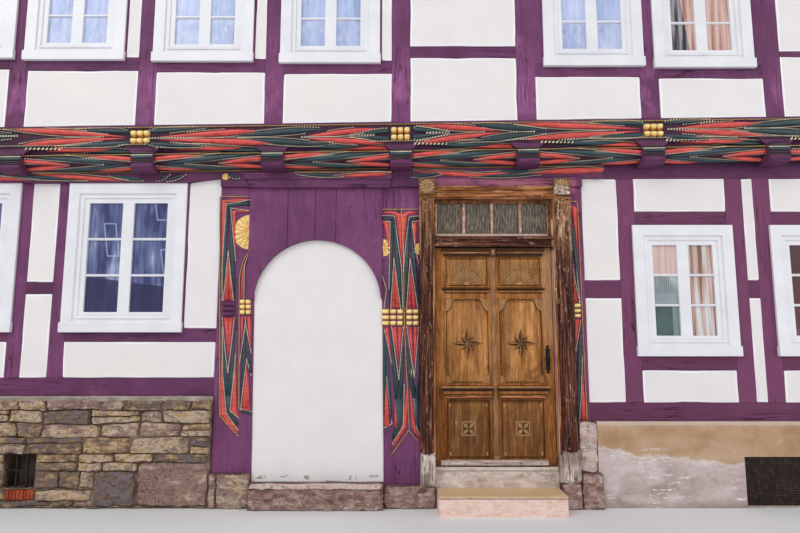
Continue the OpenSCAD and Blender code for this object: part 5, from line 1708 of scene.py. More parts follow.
def make_heads():
    """The ends of the floor beams: thin rolls in cream and green, with thin rolls of painted shade for the
    cuts between them, over a thick purple one.
    """
    greens, rolls, shade_rolls, lines = Shape(), Shape(), Shape(), Shape()
    for x in BEAM_X:
        a, b = x - BEAM_W / 2 + 0.003, x + BEAM_W / 2 - 0.003
        for shape, v, width, out in (
            (shade_rolls, -0.008, 0.026, 0.014), (lines, -0.026, 0.013, 0.012), (greens, -0.050, 0.036, 0.022),
            (shade_rolls, -0.078, 0.024, 0.013), (shade_rolls, -0.098, 0.020, 0.012), (rolls, -0.126, 0.052, 0.014),
        ):
            spindle(shape, head_face, (a, v), (b, v), width, out, blunt=(True, True), steps=8)
    greens.build("head_bands", carving_paint("green"), "carved_timber")
    # head_cuts: rolls in the shadow colour, painted shade of the cuts between the bands
    shade_rolls.build("head_cuts", carving_paint("shadow"), "carved_timber")
    rolls.build("head_rolls", painted_timber("X"), "painted_timber")
    lines.build("head_lines", carving_paint("cream"), "carved_timber")


def make_plate_carving():
    """Spindles and ropes on the plate under the beam heads and on the upper board of the gateway's lintel."""
    shapes, cream = {"red": Shape(), "green": Shape()}, []
    plate, board = flat_face(PLATE_FACE), flat_face(low("gate_lintel", 1))
    for faced, spindles in ((plate, PLATE_SPINDLES), (board, LINTEL_SPINDLES)):
        for kind, start, end, width, swell, blunt in rods(spindles, 1.5):
            spindle(shapes[kind], faced, start, end, width, 0.022, swell, blunt)
            cream.append(edge_route(faced, start, end, width, swell, 1 if kind == "red" else -1, 16))
    for kind, shape in shapes.items():
        shape.build(f"plate_{kind}s", carving_paint(kind), "carved_timber")
    ropes("plate_ropes", cream)
    edge = route(plate, (-4.98, 3.217 + rise(-4.98)), (2.0, 3.217 + rise(2.0)), 40, 0.002)
    ropes("plate_top_rope", [edge, route(board, (-1.02, 3.166), (-0.09, 3.170), 10, 0.002)], "yellow")


def post_face(x, v, out):
    """The front of the gate posts, where v is the height over the ground."""
    return (x, POST_FACE - out, v)


def arc(x, z, radius, start, sweep, steps, y):
    """Points on a part of an upright circle at y."""
    turns = [start + sweep * k / steps for k in range(steps + 1)]
    return [(x + math.cos(turn) * radius, y, z + math.sin(turn) * radius) for turn in turns]


def narrowing(t, tip, power):
    """How the width of a petal or ray falls off beyond its tip's start."""
    return 1.0 if t <= tip else max(0.0, math.cos((t - tip) / (1 - tip) * math.pi / 2)) ** power


def band(shape, points, out=0.016):
    """A carved ridge along a bent line, as wide at each point as it says."""
    rows = []
    count = len(points)
    for i, (x, z, width) in enumerate(points):
        back, ahead = points[max(0, i - 1)], points[min(count - 1, i + 1)]
        along = Vector((ahead[0] - back[0], ahead[1] - back[1])).normalized()
        reach = width / 2
        if 0 < i < count - 1:
            first = Vector((x - back[0], z - back[1])).normalized()
            reach /= max(0.6, math.cos(first.angle(along, 0)))
        row = []
        for k in range(7):
            turn = math.pi * k / 6
            across, lift = math.cos(turn) * reach, math.sin(turn) * min(out, width * 0.55 + 0.002)
            row.append(post_face(x - along.y * across, z + along.x * across, lift - 0.002))
        rows.append(row)
    # Painted light: tones for a painted highlight along the ridge and painted shade along both edges
    light = [math.sin(math.pi * k / 6) * 1.5 - 0.9 for k in range(7)]
    shape.grid(rows, 0, light * len(rows))
    for row in (rows[0], rows[-1]):
        shape.add(row, [tuple(range(7))], 0, light)


def evenly(points, step=0.05, out=0.003):
    """A rope's route along a bent line."""
    route_points = []
    for start, end in zip(points, points[1:]):
        count = max(1, int(math.dist(start, end) / step))
        route_points += route(post_face, start, end, count, out)[:-1]
    return route_points + [post_face(*points[-1], out)]


def make_post_carving():
    """Carved gate posts and door post: bands, rolls, beads and ropes."""
    shapes = {"red": Shape(), "green": Shape(), "gold": Shape(), "timber": Shape()}
    for kind, limbs in POST_LIMBS.items():
        for points in metres(limbs):
            band(shapes[kind], points)
    for kind, corners in (("gold", POST_KNOTS), ("timber", POST_ROLLS)):
        for x0, z0, x1, z1 in metres(corners):
            bead(shapes[kind], post_face, (x0 + x1) / 2, (z0 + z1) / 2, x1 - x0, z1 - z0, 0.03)
    for kind in ("red", "green", "gold"):
        shapes[kind].build("post_" + kind, carving_paint(kind), "carved_timber")
    shapes["timber"].build("post_rolls", painted_timber("X"), "painted_timber")
    for kind, lines in (("cream", POST_CREAM_ROPES), ("yellow", POST_YELLOW_ROPES)):
        ropes(f"post_{kind}_ropes", [evenly(points) for points in metres(lines)], kind, POST_ROPE)


def petal_row(x, z, turn, reach, wide, y, lift):
    """Points across a petal or ray at its reach from x, z, highest in the middle."""
    ux, uz = math.cos(turn), math.sin(turn)
    return [
        (x + ux * reach - uz * wide * side, y - lift * (1 - side * side), z + uz * reach + ux * wide * side)
        for side in (-1, -0.5, 0, 0.5, 1)
    ]


def rosette(shape, centre, radius, petals, out, face, start=0.0, sweep=2 * math.pi, tip=0.8):
    """A flower of long pointed petals round a button."""
    cx, cz = centre
    for k in range(petals):
        turn = start + sweep * (k + 0.5) / petals
        half = sweep / petals * 0.49
        rows = []
        for i in range(7):
            t = i / 6
            reach = radius * (0.16 + 0.84 * t)
            wide = reach * math.tan(half) * narrowing(t, tip, 0.7)
            lift = out * (0.35 + 0.65 * math.sin(math.pi * min(1, t * 0.8 + 0.1)))
            rows.append(petal_row(cx, cz, turn, reach, wide, face + 0.001, lift))
        shape.grid(rows)
    button = []
    for i in range(5):
        lift = math.sin(i / 4 * math.pi / 2)
        reach = radius * 0.2 * math.cos(i / 4 * math.pi / 2)
        button.append(arc(cx, cz, reach, start, sweep, 12, face - out * 1.1 * lift))
    shape.grid(button)


def make_rosettes():
    """Worn rosettes on the blocks of the door frame and painted flowers on the gate posts."""
    oak, gold = Shape(), Shape()
    lo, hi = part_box("rosette_blocks")
    half = (hi[2] - lo[2]) / 2
    for x in (lo[0] + half, hi[0] - half):
        rosette(oak, (x, lo[2] + half), 0.072, 12, 0.016, lo[1])
    oak.build("frame_rosettes", block_oak(), "weathered_oak")
    for x, z, radius, petals, start in (
        (-1.462, 2.585, 0.172, 9, math.pi / 2), (-0.170, 2.43, 0.085, 5, -math.pi / 2),
        (0.190, 2.42, 0.055, 5, math.pi / 2),
    ):
        rosette(gold, (x, z), radius, petals, 0.014, POST_FACE, start, math.pi, 1.0)
    rosette(gold, (-1.72, 3.135), 0.035, 8, 0.014, PLATE_FACE)
    gold.build("gold_flowers", carving_paint("gold"), "carved_timber")
    dress("rosette_blocks", block_oak())


# The door


DOOR_FRONT = high("door_leaf", 1) - 0.045

# Foot and top of the three panels of a column, over the foot of the leaf

DOOR_PANELS = ((0.056, 0.606), (0.749, 1.566), (1.683, 1.977))


def moulding(shape, x0, x1, z0, z1, inset, lift, face):
    """A rounded moulding round the inside of a rectangle."""
    loops = []
    for k in range(6):
        inner, y = inset * k / 5, face - lift * math.sin(math.pi * k / 5)
        left, right, low_edge, high_edge = x0 + inner, x1 - inner, z0 + inner, z1 - inner
        loops.append([(left, y, low_edge), (right, y, low_edge), (right, y, high_edge), (left, y, high_edge)])
    shape.grid(loops, closed=True)


def fan(shape, ground, x, z, radius, face, rays=13):
    """A half-round shell of raised rays with rounded tips, over a darker sunk ground."""
    ground.add(arc(x, z, radius * 0.94, 0, math.pi, 24, face - 0.0015), [tuple(range(25))])
    for k in range(rays):
        turn = math.pi * (k + 0.5) / rays
        rows = []
        for i in range(9):
            t = i / 8
            reach = radius * (0.20 + 0.84 * t)
            wide = reach * math.tan(math.pi / rays * 0.27) * narrowing(t, 0.8, 0.6)
            lift = 0.012 * min(1, t * 3 + 0.2)
            rows.append(petal_row(x, z, turn, reach, wide, face - 0.002, lift))
        shape.grid(rows)
    knob = []
    for i in range(4):
        reach, lift = radius * 0.17 * math.cos(i * math.pi / 6), 0.008 * math.sin(i * math.pi / 6)
        knob.append(arc(x, z, reach, 0, math.pi, 8, face - lift - 0.002))
    shape.grid(knob)


def leaf(shape, x, z, turn, start, end, width, face, lift, shaded=None):
    """A pointed leaf with a ridge, pointing away from x, z on a face; its other half may go to another shape,
    as painted shade.
    """
    ux, uz = math.sin(turn), math.cos(turn)

    def at(reach, side, out):
        """A point by its distance along the leaf, beside its ridge and out of the face."""
        return (x + ux * reach + uz * side, face - out, z + uz * reach - ux * side)

    third = start + (end - start) * 0.42
    rim = [at(start, 0, 0), at(third, width / 2, 0), at(end, 0, 0), at(third, -width / 2, 0)]
    for half, target in enumerate((shape, shaded or shape)):
        faces = [(0, 1 + k, 1 + (k + 1) % 4) for k in (2 * half, 2 * half + 1)]
        target.add([at(third, 0, lift)] + rim, faces)


def star(shape, ground, x, z, face):
    """An eight-leaved star, four long leaves and four short ones, each with painted shade on one side."""
    for k in range(8):
        end, width = (0.142, 0.040) if k % 2 == 0 else (0.090, 0.030)
        leaf(ground, x, z, math.pi * k / 4, 0.004, end + 0.006, width + 0.012, face, 0.002)
        leaf(shape, x, z, math.pi * k / 4, 0.012, end, width * 0.8, face - 0.001, 0.012, ground)


def cornice(shapes, x0, x1, front, base, table, laps):
    """A stepped moulding across a door column, over a base height."""
    levels = [(base + z / 1000, out / 1000, lap / 1000, kind) for z, out, lap, kind in table]
    for (z, out, lap, kind), (next_z, next_out, next_lap, _) in zip(levels, levels[1:]):
        ends = []
        for x, side, share in ((x0, -1, laps[0]), (x1, 1, laps[1])):
            here, there = x + side * lap * share, x + side * next_lap * share
            ends.append([(here, front - out, z), (there, front - next_out, next_z)])
            back = [(there, front + 0.002, next_z), (here, front + 0.002, z)]
            shapes[kind].add(ends[-1] + back, [(0, 1, 2, 3)])
        shapes[kind].grid(ends)


# The cornices in millimetres: each level has its height, how far it stands out, how far it runs on at its
# ends and the kind of wood below it; the kind shade is painted shade in the hollows

TOP_CORNICE = [
    (-5, 0, 36, "dark"), (-5, 43, 38, "shade"), (-20, 38, 32, "shade"), (-39, 35, 28, "shade"),
    (-43, 35, 26, "warm"), (-55, 33, 18, "shade"), (-61, 33, 16, "shade"), (-72, 32, 12, "shade"),
    (-84, 31, 10, "shade"), (-86, 1, 8, "dark"),
]
MIDDLE_CORNICE = [
    (732, 0, 46, "grey"), (732, 48, 48, "grey"), (716, 49, 48, "shade"), (710, 46, 44, "shade"),
    (690, 40, 30, "shade"), (685, 41, 26, "wood"), (660, 38, 16, "shade"), (652, 37, 14, "shade"),
    (648, 38, 12, "warm"), (622, 36, 6, "shade"), (614, 35, 4, "shade"), (612, 1, 2, "dark"),
]
UPPER_CORNICE = [
    (1669, 0, 26, "grey"), (1669, 26, 28, "dark"), (1660, 24, 26, "shade"), (1646, 14, 14, "shade"),
    (1642, 13, 10, "wood"), (1630, 12, 8, "dark"), (1620, 11, 4, "dark"), (1618, 1, 2, "dark"),
]


def make_door_relief():
    """Shells, stars, brackets, mouldings and cornices on the framed leaf."""
    front = DOOR_FRONT
    face = front + 0.005
    x_low, x_high = low("door_leaf", 0), high("door_leaf", 0)
    foot, top = low("door_leaf", 2), high("door_leaf", 2)
    middle = (x_low + x_high) / 2
    columns = [(x_low + 0.098, middle - 0.047, (1.0, 0.42)), (middle + 0.047, x_high - 0.098, (0.42, 1.0))]
    wood, carving, pale, grey, warm, shade = Shape(), Shape(), Shape(), Shape(), Shape(), Shape()
    shapes = {"wood": wood, "dark": carving, "grey": grey, "warm": warm, "shade": shade}
    for x0, x1, laps in columns:
        centre = (x0 + x1) / 2
        for z0, z1 in DOOR_PANELS:
            for shape, inner, width, lift, y in (
                (wood, -0.012, 0.020, 0.008, front), (carving, 0.009, 0.008, 0.003, front + 0.010),
                (wood, 0.026, 0.012, 0.004, face),
            ):
                moulding(shape, x0 + inner, x1 - inner, foot + z0 + inner, foot + z1 - inner, width, lift, y)
        fan(pale, grey, centre, foot + 1.702, 0.142, face - 0.001)
        star(grey, carving, centre, foot + 1.134, face)
        for sx in (-1, 1):
            edge = centre + sx * ((x1 - x0) / 2 - 0.004)
            # Painted shade: the larger bracket in the shaded oak behind the dusty one shows as a dark rim
            # round it
            bracket(shade, edge, foot + 1.560, sx, 1, 0.132, face, 0.008)
            bracket(grey, edge, foot + 1.560, sx, 1, 0.124, face, 0.014)
            bracket(grey, edge, foot + 0.762, sx, -1, 0.080, face, 0.006)
            for sz, level in ((-1, 0.094), (1, 0.568)):
                bracket(pale, edge - sx * 0.026, foot + level, sx, sz, 0.034, face, 0.005)
        moulding(pale, centre - 0.068, centre + 0.068, foot + 0.268, foot + 0.404, 0.011, 0.006, face)
        for k in range(8):
            turn, z = math.pi * k / 4, foot + 0.336
            side, end = (carving, 0.052) if k % 2 == 0 else (pale, 0.078)
            leaf(side, centre, z, turn, 0.014, end, 0.024, face, 0.005)
            leaf(pale, centre, z, turn + math.pi / 8, 0.006, 0.046, 0.008, face - 0.001, 0.005)
        cornice(shapes, x0, x1, front, top, TOP_CORNICE, laps)
        dentils(carving, x0 - 0.018, x1 + 0.018, top - 0.029, front - 0.030)
        for levels in (MIDDLE_CORNICE, UPPER_CORNICE):
            cornice(shapes, x0, x1, front, foot, levels, laps)
    add_box(carving, (middle - 0.028, front - 0.036, top - 0.088), (middle + 0.028, front, top - 0.006))
    bead(grey, flat_face(front - 0.035), middle, top - 0.044, 0.036, 0.058, 0.012)
    add_box(grey, (middle - 0.030, front - 0.028, foot + 0.053), (middle + 0.030, front, foot + 0.092))
    for name, shape, finish in (
        ("door_mouldings", wood, oiled_oak("door_oak")),
        ("door_carving", carving, oiled_oak("door_carved_oak")),
        ("door_brackets", grey, oiled_oak("door_dusty_oak")),
        ("door_warm_edges", warm, warm_oak()),
        # door_hollows: painted shade in the hollows of the cornices and round the brackets
        ("door_hollows", shade, oiled_oak("door_shaded_oak")),
        ("door_fans", pale, oiled_oak("door_bleached_oak")),
    ):
        shape.build(name, finish, "door_oak", DOOR, smooth=False)
    bar, nails = Shape(), Shape()
    bar_low, bar_high = x_low + 0.045, x_high - 0.085
    add_box(bar, (bar_low, front - 0.0335, foot + 0.008), (bar_high, front - 0.010, foot + 0.053))
    bar.build("door_weather_bar", grey_oak(), "door_oak", DOOR, smooth=False)
    for share in (0.08, 0.23, 0.42, 0.60, 0.74, 0.93):
        x = bar_low + (bar_high - bar_low) * share
        bead(nails, flat_face(front - 0.034), x, foot + 0.022, 0.014, 0.014, 0.006)
    nails.build("door_nails", black_iron(), "black_iron", DOOR)
    dress("door_leaf", oiled_oak("door_oak"))
    make_handle()
    for node in ("hinge_knuckles", "hinge_pintles"):
        dress(node, black_iron())


def dentils(shape, x0, x1, z, front):
    """A row of small blocks under a cornice."""
    count = 22
    for k in range(count):
        x = x0 + 0.010 + (x1 - x0 - 0.020) * k / (count - 1)
        add_box(shape, (x - 0.005, front - 0.012, z - 0.009), (x + 0.005, front - 0.002, z + 0.008))


# The plate of the handle: each share of its height with half its width there

HANDLE_PLATE = [
    (0.0, 0.002), (0.03, 0.012), (0.07, 0.016), (0.11, 0.007), (0.15, 0.022), (0.20, 0.017),
    (0.44, 0.016), (0.50, 0.022), (0.56, 0.016), (0.80, 0.017), (0.85, 0.022), (0.89, 0.007),
    (0.93, 0.016), (0.97, 0.012), (1.0, 0.002),
]


def make_handle():
    """The forged handle: a leaf-ended plate, a bowed grip with a knob in the middle and two small bosses."""
    lo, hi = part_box("door_handle")
    x, tall, deep = (lo[0] + hi[0]) / 2, hi[2] - lo[2], DOOR_FRONT - lo[1]
    iron = Shape()
    iron.grid([
        [(x + side * half, DOOR_FRONT + depth, lo[2] + tall * share)
         for side, depth in ((-1.35, 0.001), (-0.9, -0.005), (0.9, -0.005), (1.35, 0.001))]
        for share, half in HANDLE_PLATE
    ])
    grip = []
    turns = [math.pi * j / 4 for j in range(8)]
    for k in range(17):
        t = k / 16
        out = deep * (0.16 + 0.62 * math.sin(math.pi * t))
        radius = 0.0055 + 0.0035 * math.sin(math.pi * t) + (0.005 if abs(t - 0.5) < 0.08 else 0)
        y, z = DOOR_FRONT - out, lo[2] + tall * (0.26 + 0.50 * t)
        grip.append([(x + radius * math.cos(turn), y - radius * math.sin(turn), z) for turn in turns])
    iron.grid(grip, closed=True)
    for row in (grip[0], grip[-1]):
        iron.add(row, [tuple(range(8))])
    for share in (0.17, 0.83):
        bead(iron, flat_face(DOOR_FRONT - 0.003), x, lo[2] + tall * share, 0.022, 0.026, 0.012)
    iron.build("forged_handle", black_iron(), "black_iron", DOOR, False, ["door_handle"])


def bracket(shape, x, z, sx, sz, size, face, lift=0.012):
    """A corner piece with an ogee edge."""
    curve = [(x - sx * size, z)]
    for k in range(9):
        t = k / 8
        bow = 0.16 * size * math.sin(2 * math.pi * t)
        across, down = (size * (1 - t) - bow * 0.7) * 0.98, (size * t - bow * 0.7) * 0.98 * (0.35 + 0.65 * t)
        curve.append((x - sx * across, z - sz * down))
    curve.append((x, z - sz * size))
    points = [(x, face - lift, z)] + [(a, face - lift, b) for a, b in curve]
    count = len(curve)
    base = [(a, face + 0.001, b) for a, b in curve]
    faces = [(0, 1 + k, 2 + k) for k in range(count - 1)]
    faces += [(1 + k, 2 + k, 2 + count + k, 1 + count + k) for k in range(count - 1)]
    shape.add(points + base, faces)


def make_door_frame():
    """Jambs with half-round columns and worn feet, the moulded head and the transom."""
    hewn("door_jamb_timbers", ["door_jambs"], weathered_oak("Z"), "weathered_oak", 0.006, 0.001)
    hewn("door_head_timber", ["door_head"], bare_oak("X"), "weathered_oak", 0.006, 0.001)
    jambs_low, jambs_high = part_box("door_jambs")
    head_low, head_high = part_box("door_head")
    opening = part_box("transom_bar")
    face = jambs_low[1]
    dark, strips, feet = Shape(), Shape(), Shape()
    turns = [math.pi * j / 16 for j in range(17)]
    for x0, x1, strip, foot in (
        (jambs_low[0] + 0.008, opening[0][0] - 0.018, (opening[0][0] - 0.016, opening[0][0]), 0.21),
        (opening[1][0] + 0.024, jambs_high[0] - 0.012, (opening[1][0] + 0.003, opening[1][0] + 0.021), 0.235),
    ):
        middle, radius = (x0 + x1) / 2, (x1 - x0) / 2
        rows = []
        for k in range(31):
            z = 0.50 + (head_low[2] - 0.02 - 0.50) * k / 30
            swell = 1 + 0.02 * math.sin(k * 0.9) + (0.05 if k > 28 else 0)
            wide = radius * min(1.0, swell)
            flutes = [1 - 0.10 * abs(math.sin(turn * 4)) for turn in turns]
            rows.append([
                (middle + wide * math.cos(turn), face + 0.002 - 0.032 * math.sin(turn) * flute * swell, z)
                for turn, flute in zip(turns, flutes)
            ])
        dark.grid(rows)
        for z in (head_low[2] - 0.06, head_low[2] - 0.14):
            ring = []
            for rise_by, out in ((0, 0.033), (0.006, 0.043), (0.018, 0.043), (0.024, 0.033)):
                ring.append([
                    (middle + radius * math.cos(turn), face + 0.002 - out * math.sin(turn), z + rise_by)
                    for turn in turns
                ])
            dark.grid(ring)
        add_box(strips, (strip[0], face - 0.004, foot + 0.25), (strip[1], face + 0.02, head_low[2]))
        foot_block(feet, x0 - 0.006, x1 + 0.012, foot, face)
    dark.build("door_columns", weathered_oak("Z"), "weathered_oak")
    strips.build("door_strips", bare_oak("Z"), "weathered_oak", smooth=False)
    faded = Shape()
    right = opening[1][0]
    add_box(faded, (right - 0.0025, face - 0.003, 0.49), (right + 0.003, DOOR_FRONT - 0.004, 2.40))
    add_box(faded, (right - 0.012, face - 0.001, 2.44), (right + 0.004, face + 0.012, 2.70))
    faded.build("faded_strip", pinkish_oak(), "weathered_oak", smooth=False)
    feet.build("door_frame_feet", foot_oak(), "weathered_oak", smooth=False)
    head = Shape()
    profile = [
        (0.0, 0.0), (0.010, 0.004), (0.014, 0.018), (0.006, 0.030), (0.008, 0.060), (0.024, 0.078),
        (0.030, 0.096), (0.012, 0.104), (0.0, 0.106),
    ]
    x0, x1 = head_low[0] + 0.17, head_high[0] - 0.17
    head.grid([[(x, head_low[1] + 0.001 - d, head_low[2] + 0.012 + h) for d, h in profile] for x in (x0, x1)])
    head.build("door_head_moulding", bare_oak("X"), "weathered_oak", smooth=False)
    shelf = Shape()
    lo, hi = opening
    profile = [
        (0.0, 0.0), (0.012, 0.010), (0.016, 0.034), (0.034, 0.056), (0.044, 0.062), (0.044, 0.088),
        (0.0, 0.092),
    ]
    ends = (lo[0] + 0.002, hi[0] - 0.002)
    rows = [[(x, lo[1] + 0.001 - d, lo[2] + 0.006 + h) for d, h in profile] for x in ends]
    shelf.grid(rows)
    for row in rows:
        shelf.add(row, [tuple(range(7))])
    shelf.build("transom_shelf", weathered_oak("X"), "weathered_oak", smooth=False)
    dress("transom_bar", weathered_oak("X"))
    dress("transom_window", transom_oak())


def foot_block(shape, x0, x1, foot, face):
    """A worn foot block with a chamfered top and a ragged lower edge."""
    rows = []
    for height, out in ((0, 0.020), (0.03, 0.040), (0.24, 0.044), (0.275, 0.034), (0.29, -0.002)):
        y, z = face - out, foot + height
        rows.append([
            (x0, face + 0.002, z), (x0 + 0.006, y, z + 0.004), ((x0 + x1) / 2, y - 0.006, z - 0.012),
            (x1 - 0.006, y, z + 0.003), (x1, face + 0.002, z),
        ])
    shape.grid(rows)
    shape.add(rows[0], [tuple(range(5))])


# The studio


def stage_floor():
    """Plain pale floor."""
    f = Finish("studio_floor")
    f.tint = f.mix(f.noise(0.6, 2, 0.5) * 0.12, tuple(bpy.context.scene.house_colours.floor), (0.8, 0.8, 0.8))
    return f.finish(0.85)


def make_stage():
    """A pale floor, a white sky for the camera, three soft lights and the camera in the street."""
    scene = bpy.context.scene
    mesh = bpy.data.meshes.new("studio_floor")
    mesh.from_pydata([(-60, -40, 0), (60, -40, 0), (60, 60, 0), (-60, 60, 0)], [], [(0, 1, 2, 3)])
    mesh.materials.append(stage_floor())
    floor = bpy.data.objects.new("studio_floor", mesh)
    scene.collection.objects.link(floor)
    world = bpy.data.worlds.new("studio_light")
    scene.world = world
    world.use_nodes = True
    nodes, links = world.node_tree.nodes, world.node_tree.links
    plain = nodes["Background"]
    plain.inputs["Color"].default_value = (0.93, 0.95, 1.0, 1.0)
    plain.inputs["Strength"].default_value = scene.house_light.sky
    white = nodes.new("ShaderNodeBackground")
    white.inputs["Color"].default_value = (1.0, 1.0, 1.0, 1.0)
    white.inputs["Strength"].default_value = 1.0
    path, mix = nodes.new("ShaderNodeLightPath"), nodes.new("ShaderNodeMixShader")
    seen = path.outputs["Is Camera Ray"]
    for kind in ("Is Glossy Ray", "Is Transmission Ray"):
        either = nodes.new("ShaderNodeMath")
        either.operation = "MAXIMUM"
        links.new(seen, either.inputs[0])
        links.new(path.outputs[kind], either.inputs[1])
        seen = either.outputs[0]
    links.new(seen, mix.inputs[0])
    links.new(plain.outputs[0], mix.inputs[1])
    links.new(white.outputs[0], mix.inputs[2])
    links.new(mix.outputs[0], nodes["World Output"].inputs["Surface"])
    for name, place_at, target, size, power in (
        ("key_light", (-9, -15, 13), (0, -3, 3), 9, scene.house_light.key),
        ("fill_light", (12, -14, 3.5), (0, -3, 3), 12, scene.house_light.fill),
        ("back_light", (8, 16, 14), (0, 3, 3), 10, scene.house_light.fill),
    ):
        lamp = bpy.data.lights.new(name, "AREA")
        lamp.size, lamp.energy = size, power
        light = bpy.data.objects.new(name, lamp)
        light.location = place_at
        light.rotation_euler = (Vector(target) - Vector(place_at)).to_track_quat("-Z", "Y").to_euler()
        scene.collection.objects.link(light)
    lens = bpy.data.cameras.new("street_view")
    lens.lens, lens.sensor_width = 27.0, 36.0
    camera = bpy.data.objects.new("street_view", lens)
    camera.location = (0.0, -9.5, 1.505)
    camera.rotation_euler = (math.radians(97.3), 0.0, 0.0)
    scene.collection.objects.link(camera)
    scene.camera = camera
    scene.view_settings.view_transform = "Standard"


# The add-on


def colour(name, default, description):
    """A colour in the panel."""
    return bpy.props.FloatVectorProperty(
        name=name, description=description, default=default, subtype="COLOR", size=3, min=0.0, max=1.0
    )


def length(name, default, description):
    """A size in the panel."""
    return bpy.props.FloatProperty(
        name=name, description=description, default=default, min=0.005, subtype="DISTANCE", unit="LENGTH"
    )


class HouseSizes(bpy.types.PropertyGroup):
    """What repeats over the house"""

    tile_width: length("Tile Width", 0.18, "Width of a roof tile")
    tile_reach: length("Tile Reach", 0.15, "Length of a roof tile that shows")
    course_height: length("Course Height", 0.13, "Height of a course of the rubble plinth")
    rope_pitch: length("Rope Pitch", 0.027, "Distance between the strands of the ropes on the jetty")


class HouseColours(bpy.types.PropertyGroup):
    """Paints of the house"""

    timber: colour("Timber", srgb(109, 60, 97), "Paint of the timber frame")
    plaster: colour("Plaster", srgb(238, 233, 231), "Limewash of the infill")
    red: colour("Red", srgb(212, 76, 68), "Red spindles of the carving")
    green: colour("Green", srgb(32, 60, 66), "Green spindles of the carving")
    gold: colour("Gold", srgb(255, 216, 140), "Knots and flowers of the carving")
    cream: colour("Cream", srgb(248, 226, 192), "Strands of the ropes")
    yellow: colour("Yellow", srgb(238, 192, 92), "Strands of the rope along the top")
    # Shadow is painted shade: the dark of the carved band, of the grooves between rope strands and of the
    # cuts in the beam heads
    shadow: colour("Shadow", srgb(44, 26, 32), "Ground between the strands")
    floor: colour("Floor", (0.78, 0.78, 0.78), "Studio floor")


class HouseLight(bpy.types.PropertyGroup):
    """Strengths of the studio's lights"""

    sky: bpy.props.FloatProperty(
        name="Sky", description="Strength of the light all round", default=0.75, min=0.0
    )
    key: bpy.props.FloatProperty(
        name="Key", description="Power of the key light", default=900.0, min=0.0, unit="POWER"
    )
    fill: bpy.props.FloatProperty(
        name="Fill", description="Power of the fill lights", default=500.0, min=0.0, unit="POWER"
    )


class HOUSE_OT_timber_frame(bpy.types.Operator):
    """Hew and paint the posts, rails, plates and beams"""

    bl_idname, bl_label = "house.timber_frame", "Timber frame"

    def execute(self, context):
        make_timber_frame()
        return {"FINISHED"}


class HOUSE_OT_walls(bpy.types.Operator):
    """Plaster the infill, render the party walls and finish the rooms"""

    bl_idname, bl_label = "house.walls", "Walls"

    def execute(self, context):
        make_walls()
        return {"FINISHED"}


class HOUSE_OT_stonework(bpy.types.Operator):
    """Lay the plinth stones"""

    bl_idname, bl_label = "house.stonework", "Stonework"

    def execute(self, context):
        make_stonework()
        return {"FINISHED"}


class HOUSE_OT_windows(bpy.types.Operator):
    """Paint the windows and add their glazing bars"""

    bl_idname, bl_label = "house.windows", "Windows"

    def execute(self, context):
        make_windows()
        return {"FINISHED"}


class HOUSE_OT_roof(bpy.types.Operator):
    """Tile both slopes of the roof"""

    bl_idname, bl_label = "house.roof", "Roof"

    def execute(self, context):
        make_roof()
        return {"FINISHED"}


class HOUSE_OT_sill_carving(bpy.types.Operator):
    """Carve the sill of the upper floor"""

    bl_idname, bl_label = "house.sill_carving", "Sill carving"

    def execute(self, context):
        make_sill_carving()
        return {"FINISHED"}


class HOUSE_OT_filler_carving(bpy.types.Operator):
    """Carve the rounded timbers between the beam heads"""

    bl_idname, bl_label = "house.filler_carving", "Filler carving"

    def execute(self, context):
        make_filler_carving()
        return {"FINISHED"}


class HOUSE_OT_heads(bpy.types.Operator):
    """Band the beam heads"""

    bl_idname, bl_label = "house.heads", "Beam heads"

    def execute(self, context):
        make_heads()
        return {"FINISHED"}


class HOUSE_OT_plate_carving(bpy.types.Operator):
    """Carve the wall plate"""

    bl_idname, bl_label = "house.plate_carving", "Plate carving"

    def execute(self, context):
        make_plate_carving()
        return {"FINISHED"}


class HOUSE_OT_post_carving(bpy.types.Operator):
    """Carve the gate posts"""

    bl_idname, bl_label = "house.post_carving", "Post carving"

    def execute(self, context):
        make_post_carving()
        return {"FINISHED"}


class HOUSE_OT_rosettes(bpy.types.Operator):
    """Carve the rosettes"""

    bl_idname, bl_label = "house.rosettes", "Rosettes"

    def execute(self, context):
        make_rosettes()
        return {"FINISHED"}


class HOUSE_OT_door_frame(bpy.types.Operator):
    """Finish the jambs, the head and the transom of the door"""

    bl_idname, bl_label = "house.door_frame", "Door frame"

    def execute(self, context):
        make_door_frame()
        return {"FINISHED"}


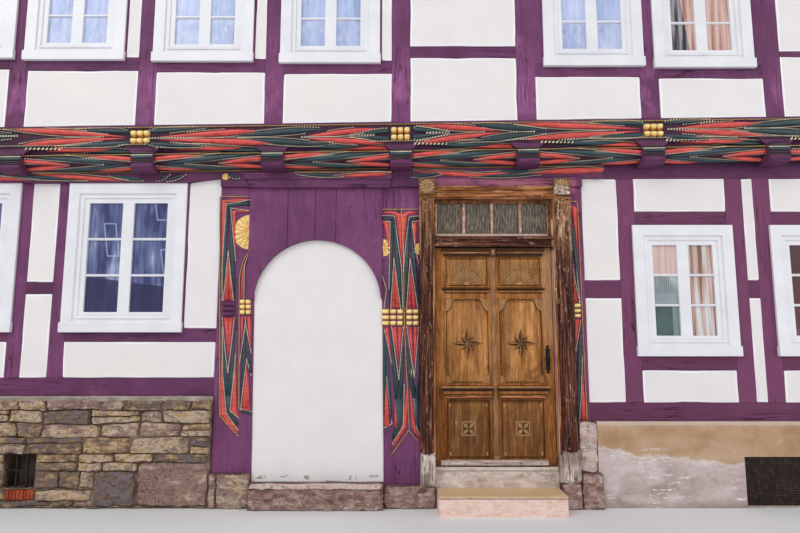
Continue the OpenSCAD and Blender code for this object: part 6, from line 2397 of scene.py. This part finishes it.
class HOUSE_OT_door_relief(bpy.types.Operator):
    """Carve the leaf of the door"""

    bl_idname, bl_label = "house.door_relief", "Door relief"

    def execute(self, context):
        make_door_relief()
        return {"FINISHED"}


class HOUSE_OT_stage(bpy.types.Operator):
    """Set up the floor, the lights and the camera"""

    bl_idname, bl_label = "house.stage", "Stage"

    def execute(self, context):
        make_stage()
        return {"FINISHED"}


OPERATORS = (
    HOUSE_OT_timber_frame, HOUSE_OT_walls, HOUSE_OT_stonework, HOUSE_OT_windows, HOUSE_OT_roof,
    HOUSE_OT_sill_carving, HOUSE_OT_filler_carving, HOUSE_OT_heads, HOUSE_OT_plate_carving,
    HOUSE_OT_post_carving, HOUSE_OT_rosettes, HOUSE_OT_door_frame, HOUSE_OT_door_relief, HOUSE_OT_stage,
)


class HOUSE_PT_pieces(bpy.types.Panel):
    """Sizes and colours of the house, and a button for each group of pieces"""

    bl_idname, bl_label = "HOUSE_PT_pieces", "Half Timbered House"
    bl_space_type, bl_region_type, bl_category = "VIEW_3D", "UI", "House"

    def draw(self, context):
        for group in (context.scene.house_sizes, context.scene.house_colours, context.scene.house_light):
            for key in group.__annotations__:
                self.layout.prop(group, key)
        for operator in OPERATORS:
            self.layout.operator(operator.bl_idname)


CLASSES = (HouseSizes, HouseColours, HouseLight, *OPERATORS, HOUSE_PT_pieces)


def register():
    """Registers the classes and hangs the sizes and colours on the scene."""
    for item in CLASSES:
        bpy.utils.register_class(item)
    bpy.types.Scene.house_sizes = bpy.props.PointerProperty(type=HouseSizes)
    bpy.types.Scene.house_colours = bpy.props.PointerProperty(type=HouseColours)
    bpy.types.Scene.house_light = bpy.props.PointerProperty(type=HouseLight)


def unregister():
    """Takes it all away again."""
    del bpy.types.Scene.house_light
    del bpy.types.Scene.house_colours
    del bpy.types.Scene.house_sizes
    for item in reversed(CLASSES):
        bpy.utils.unregister_class(item)


def main():
    """Registers the add-on and makes every piece."""
    register()
    for operator in OPERATORS:
        group, name = operator.bl_idname.split(".")
        getattr(getattr(bpy.ops, group), name)()


if __name__ == "__main__":
    main()
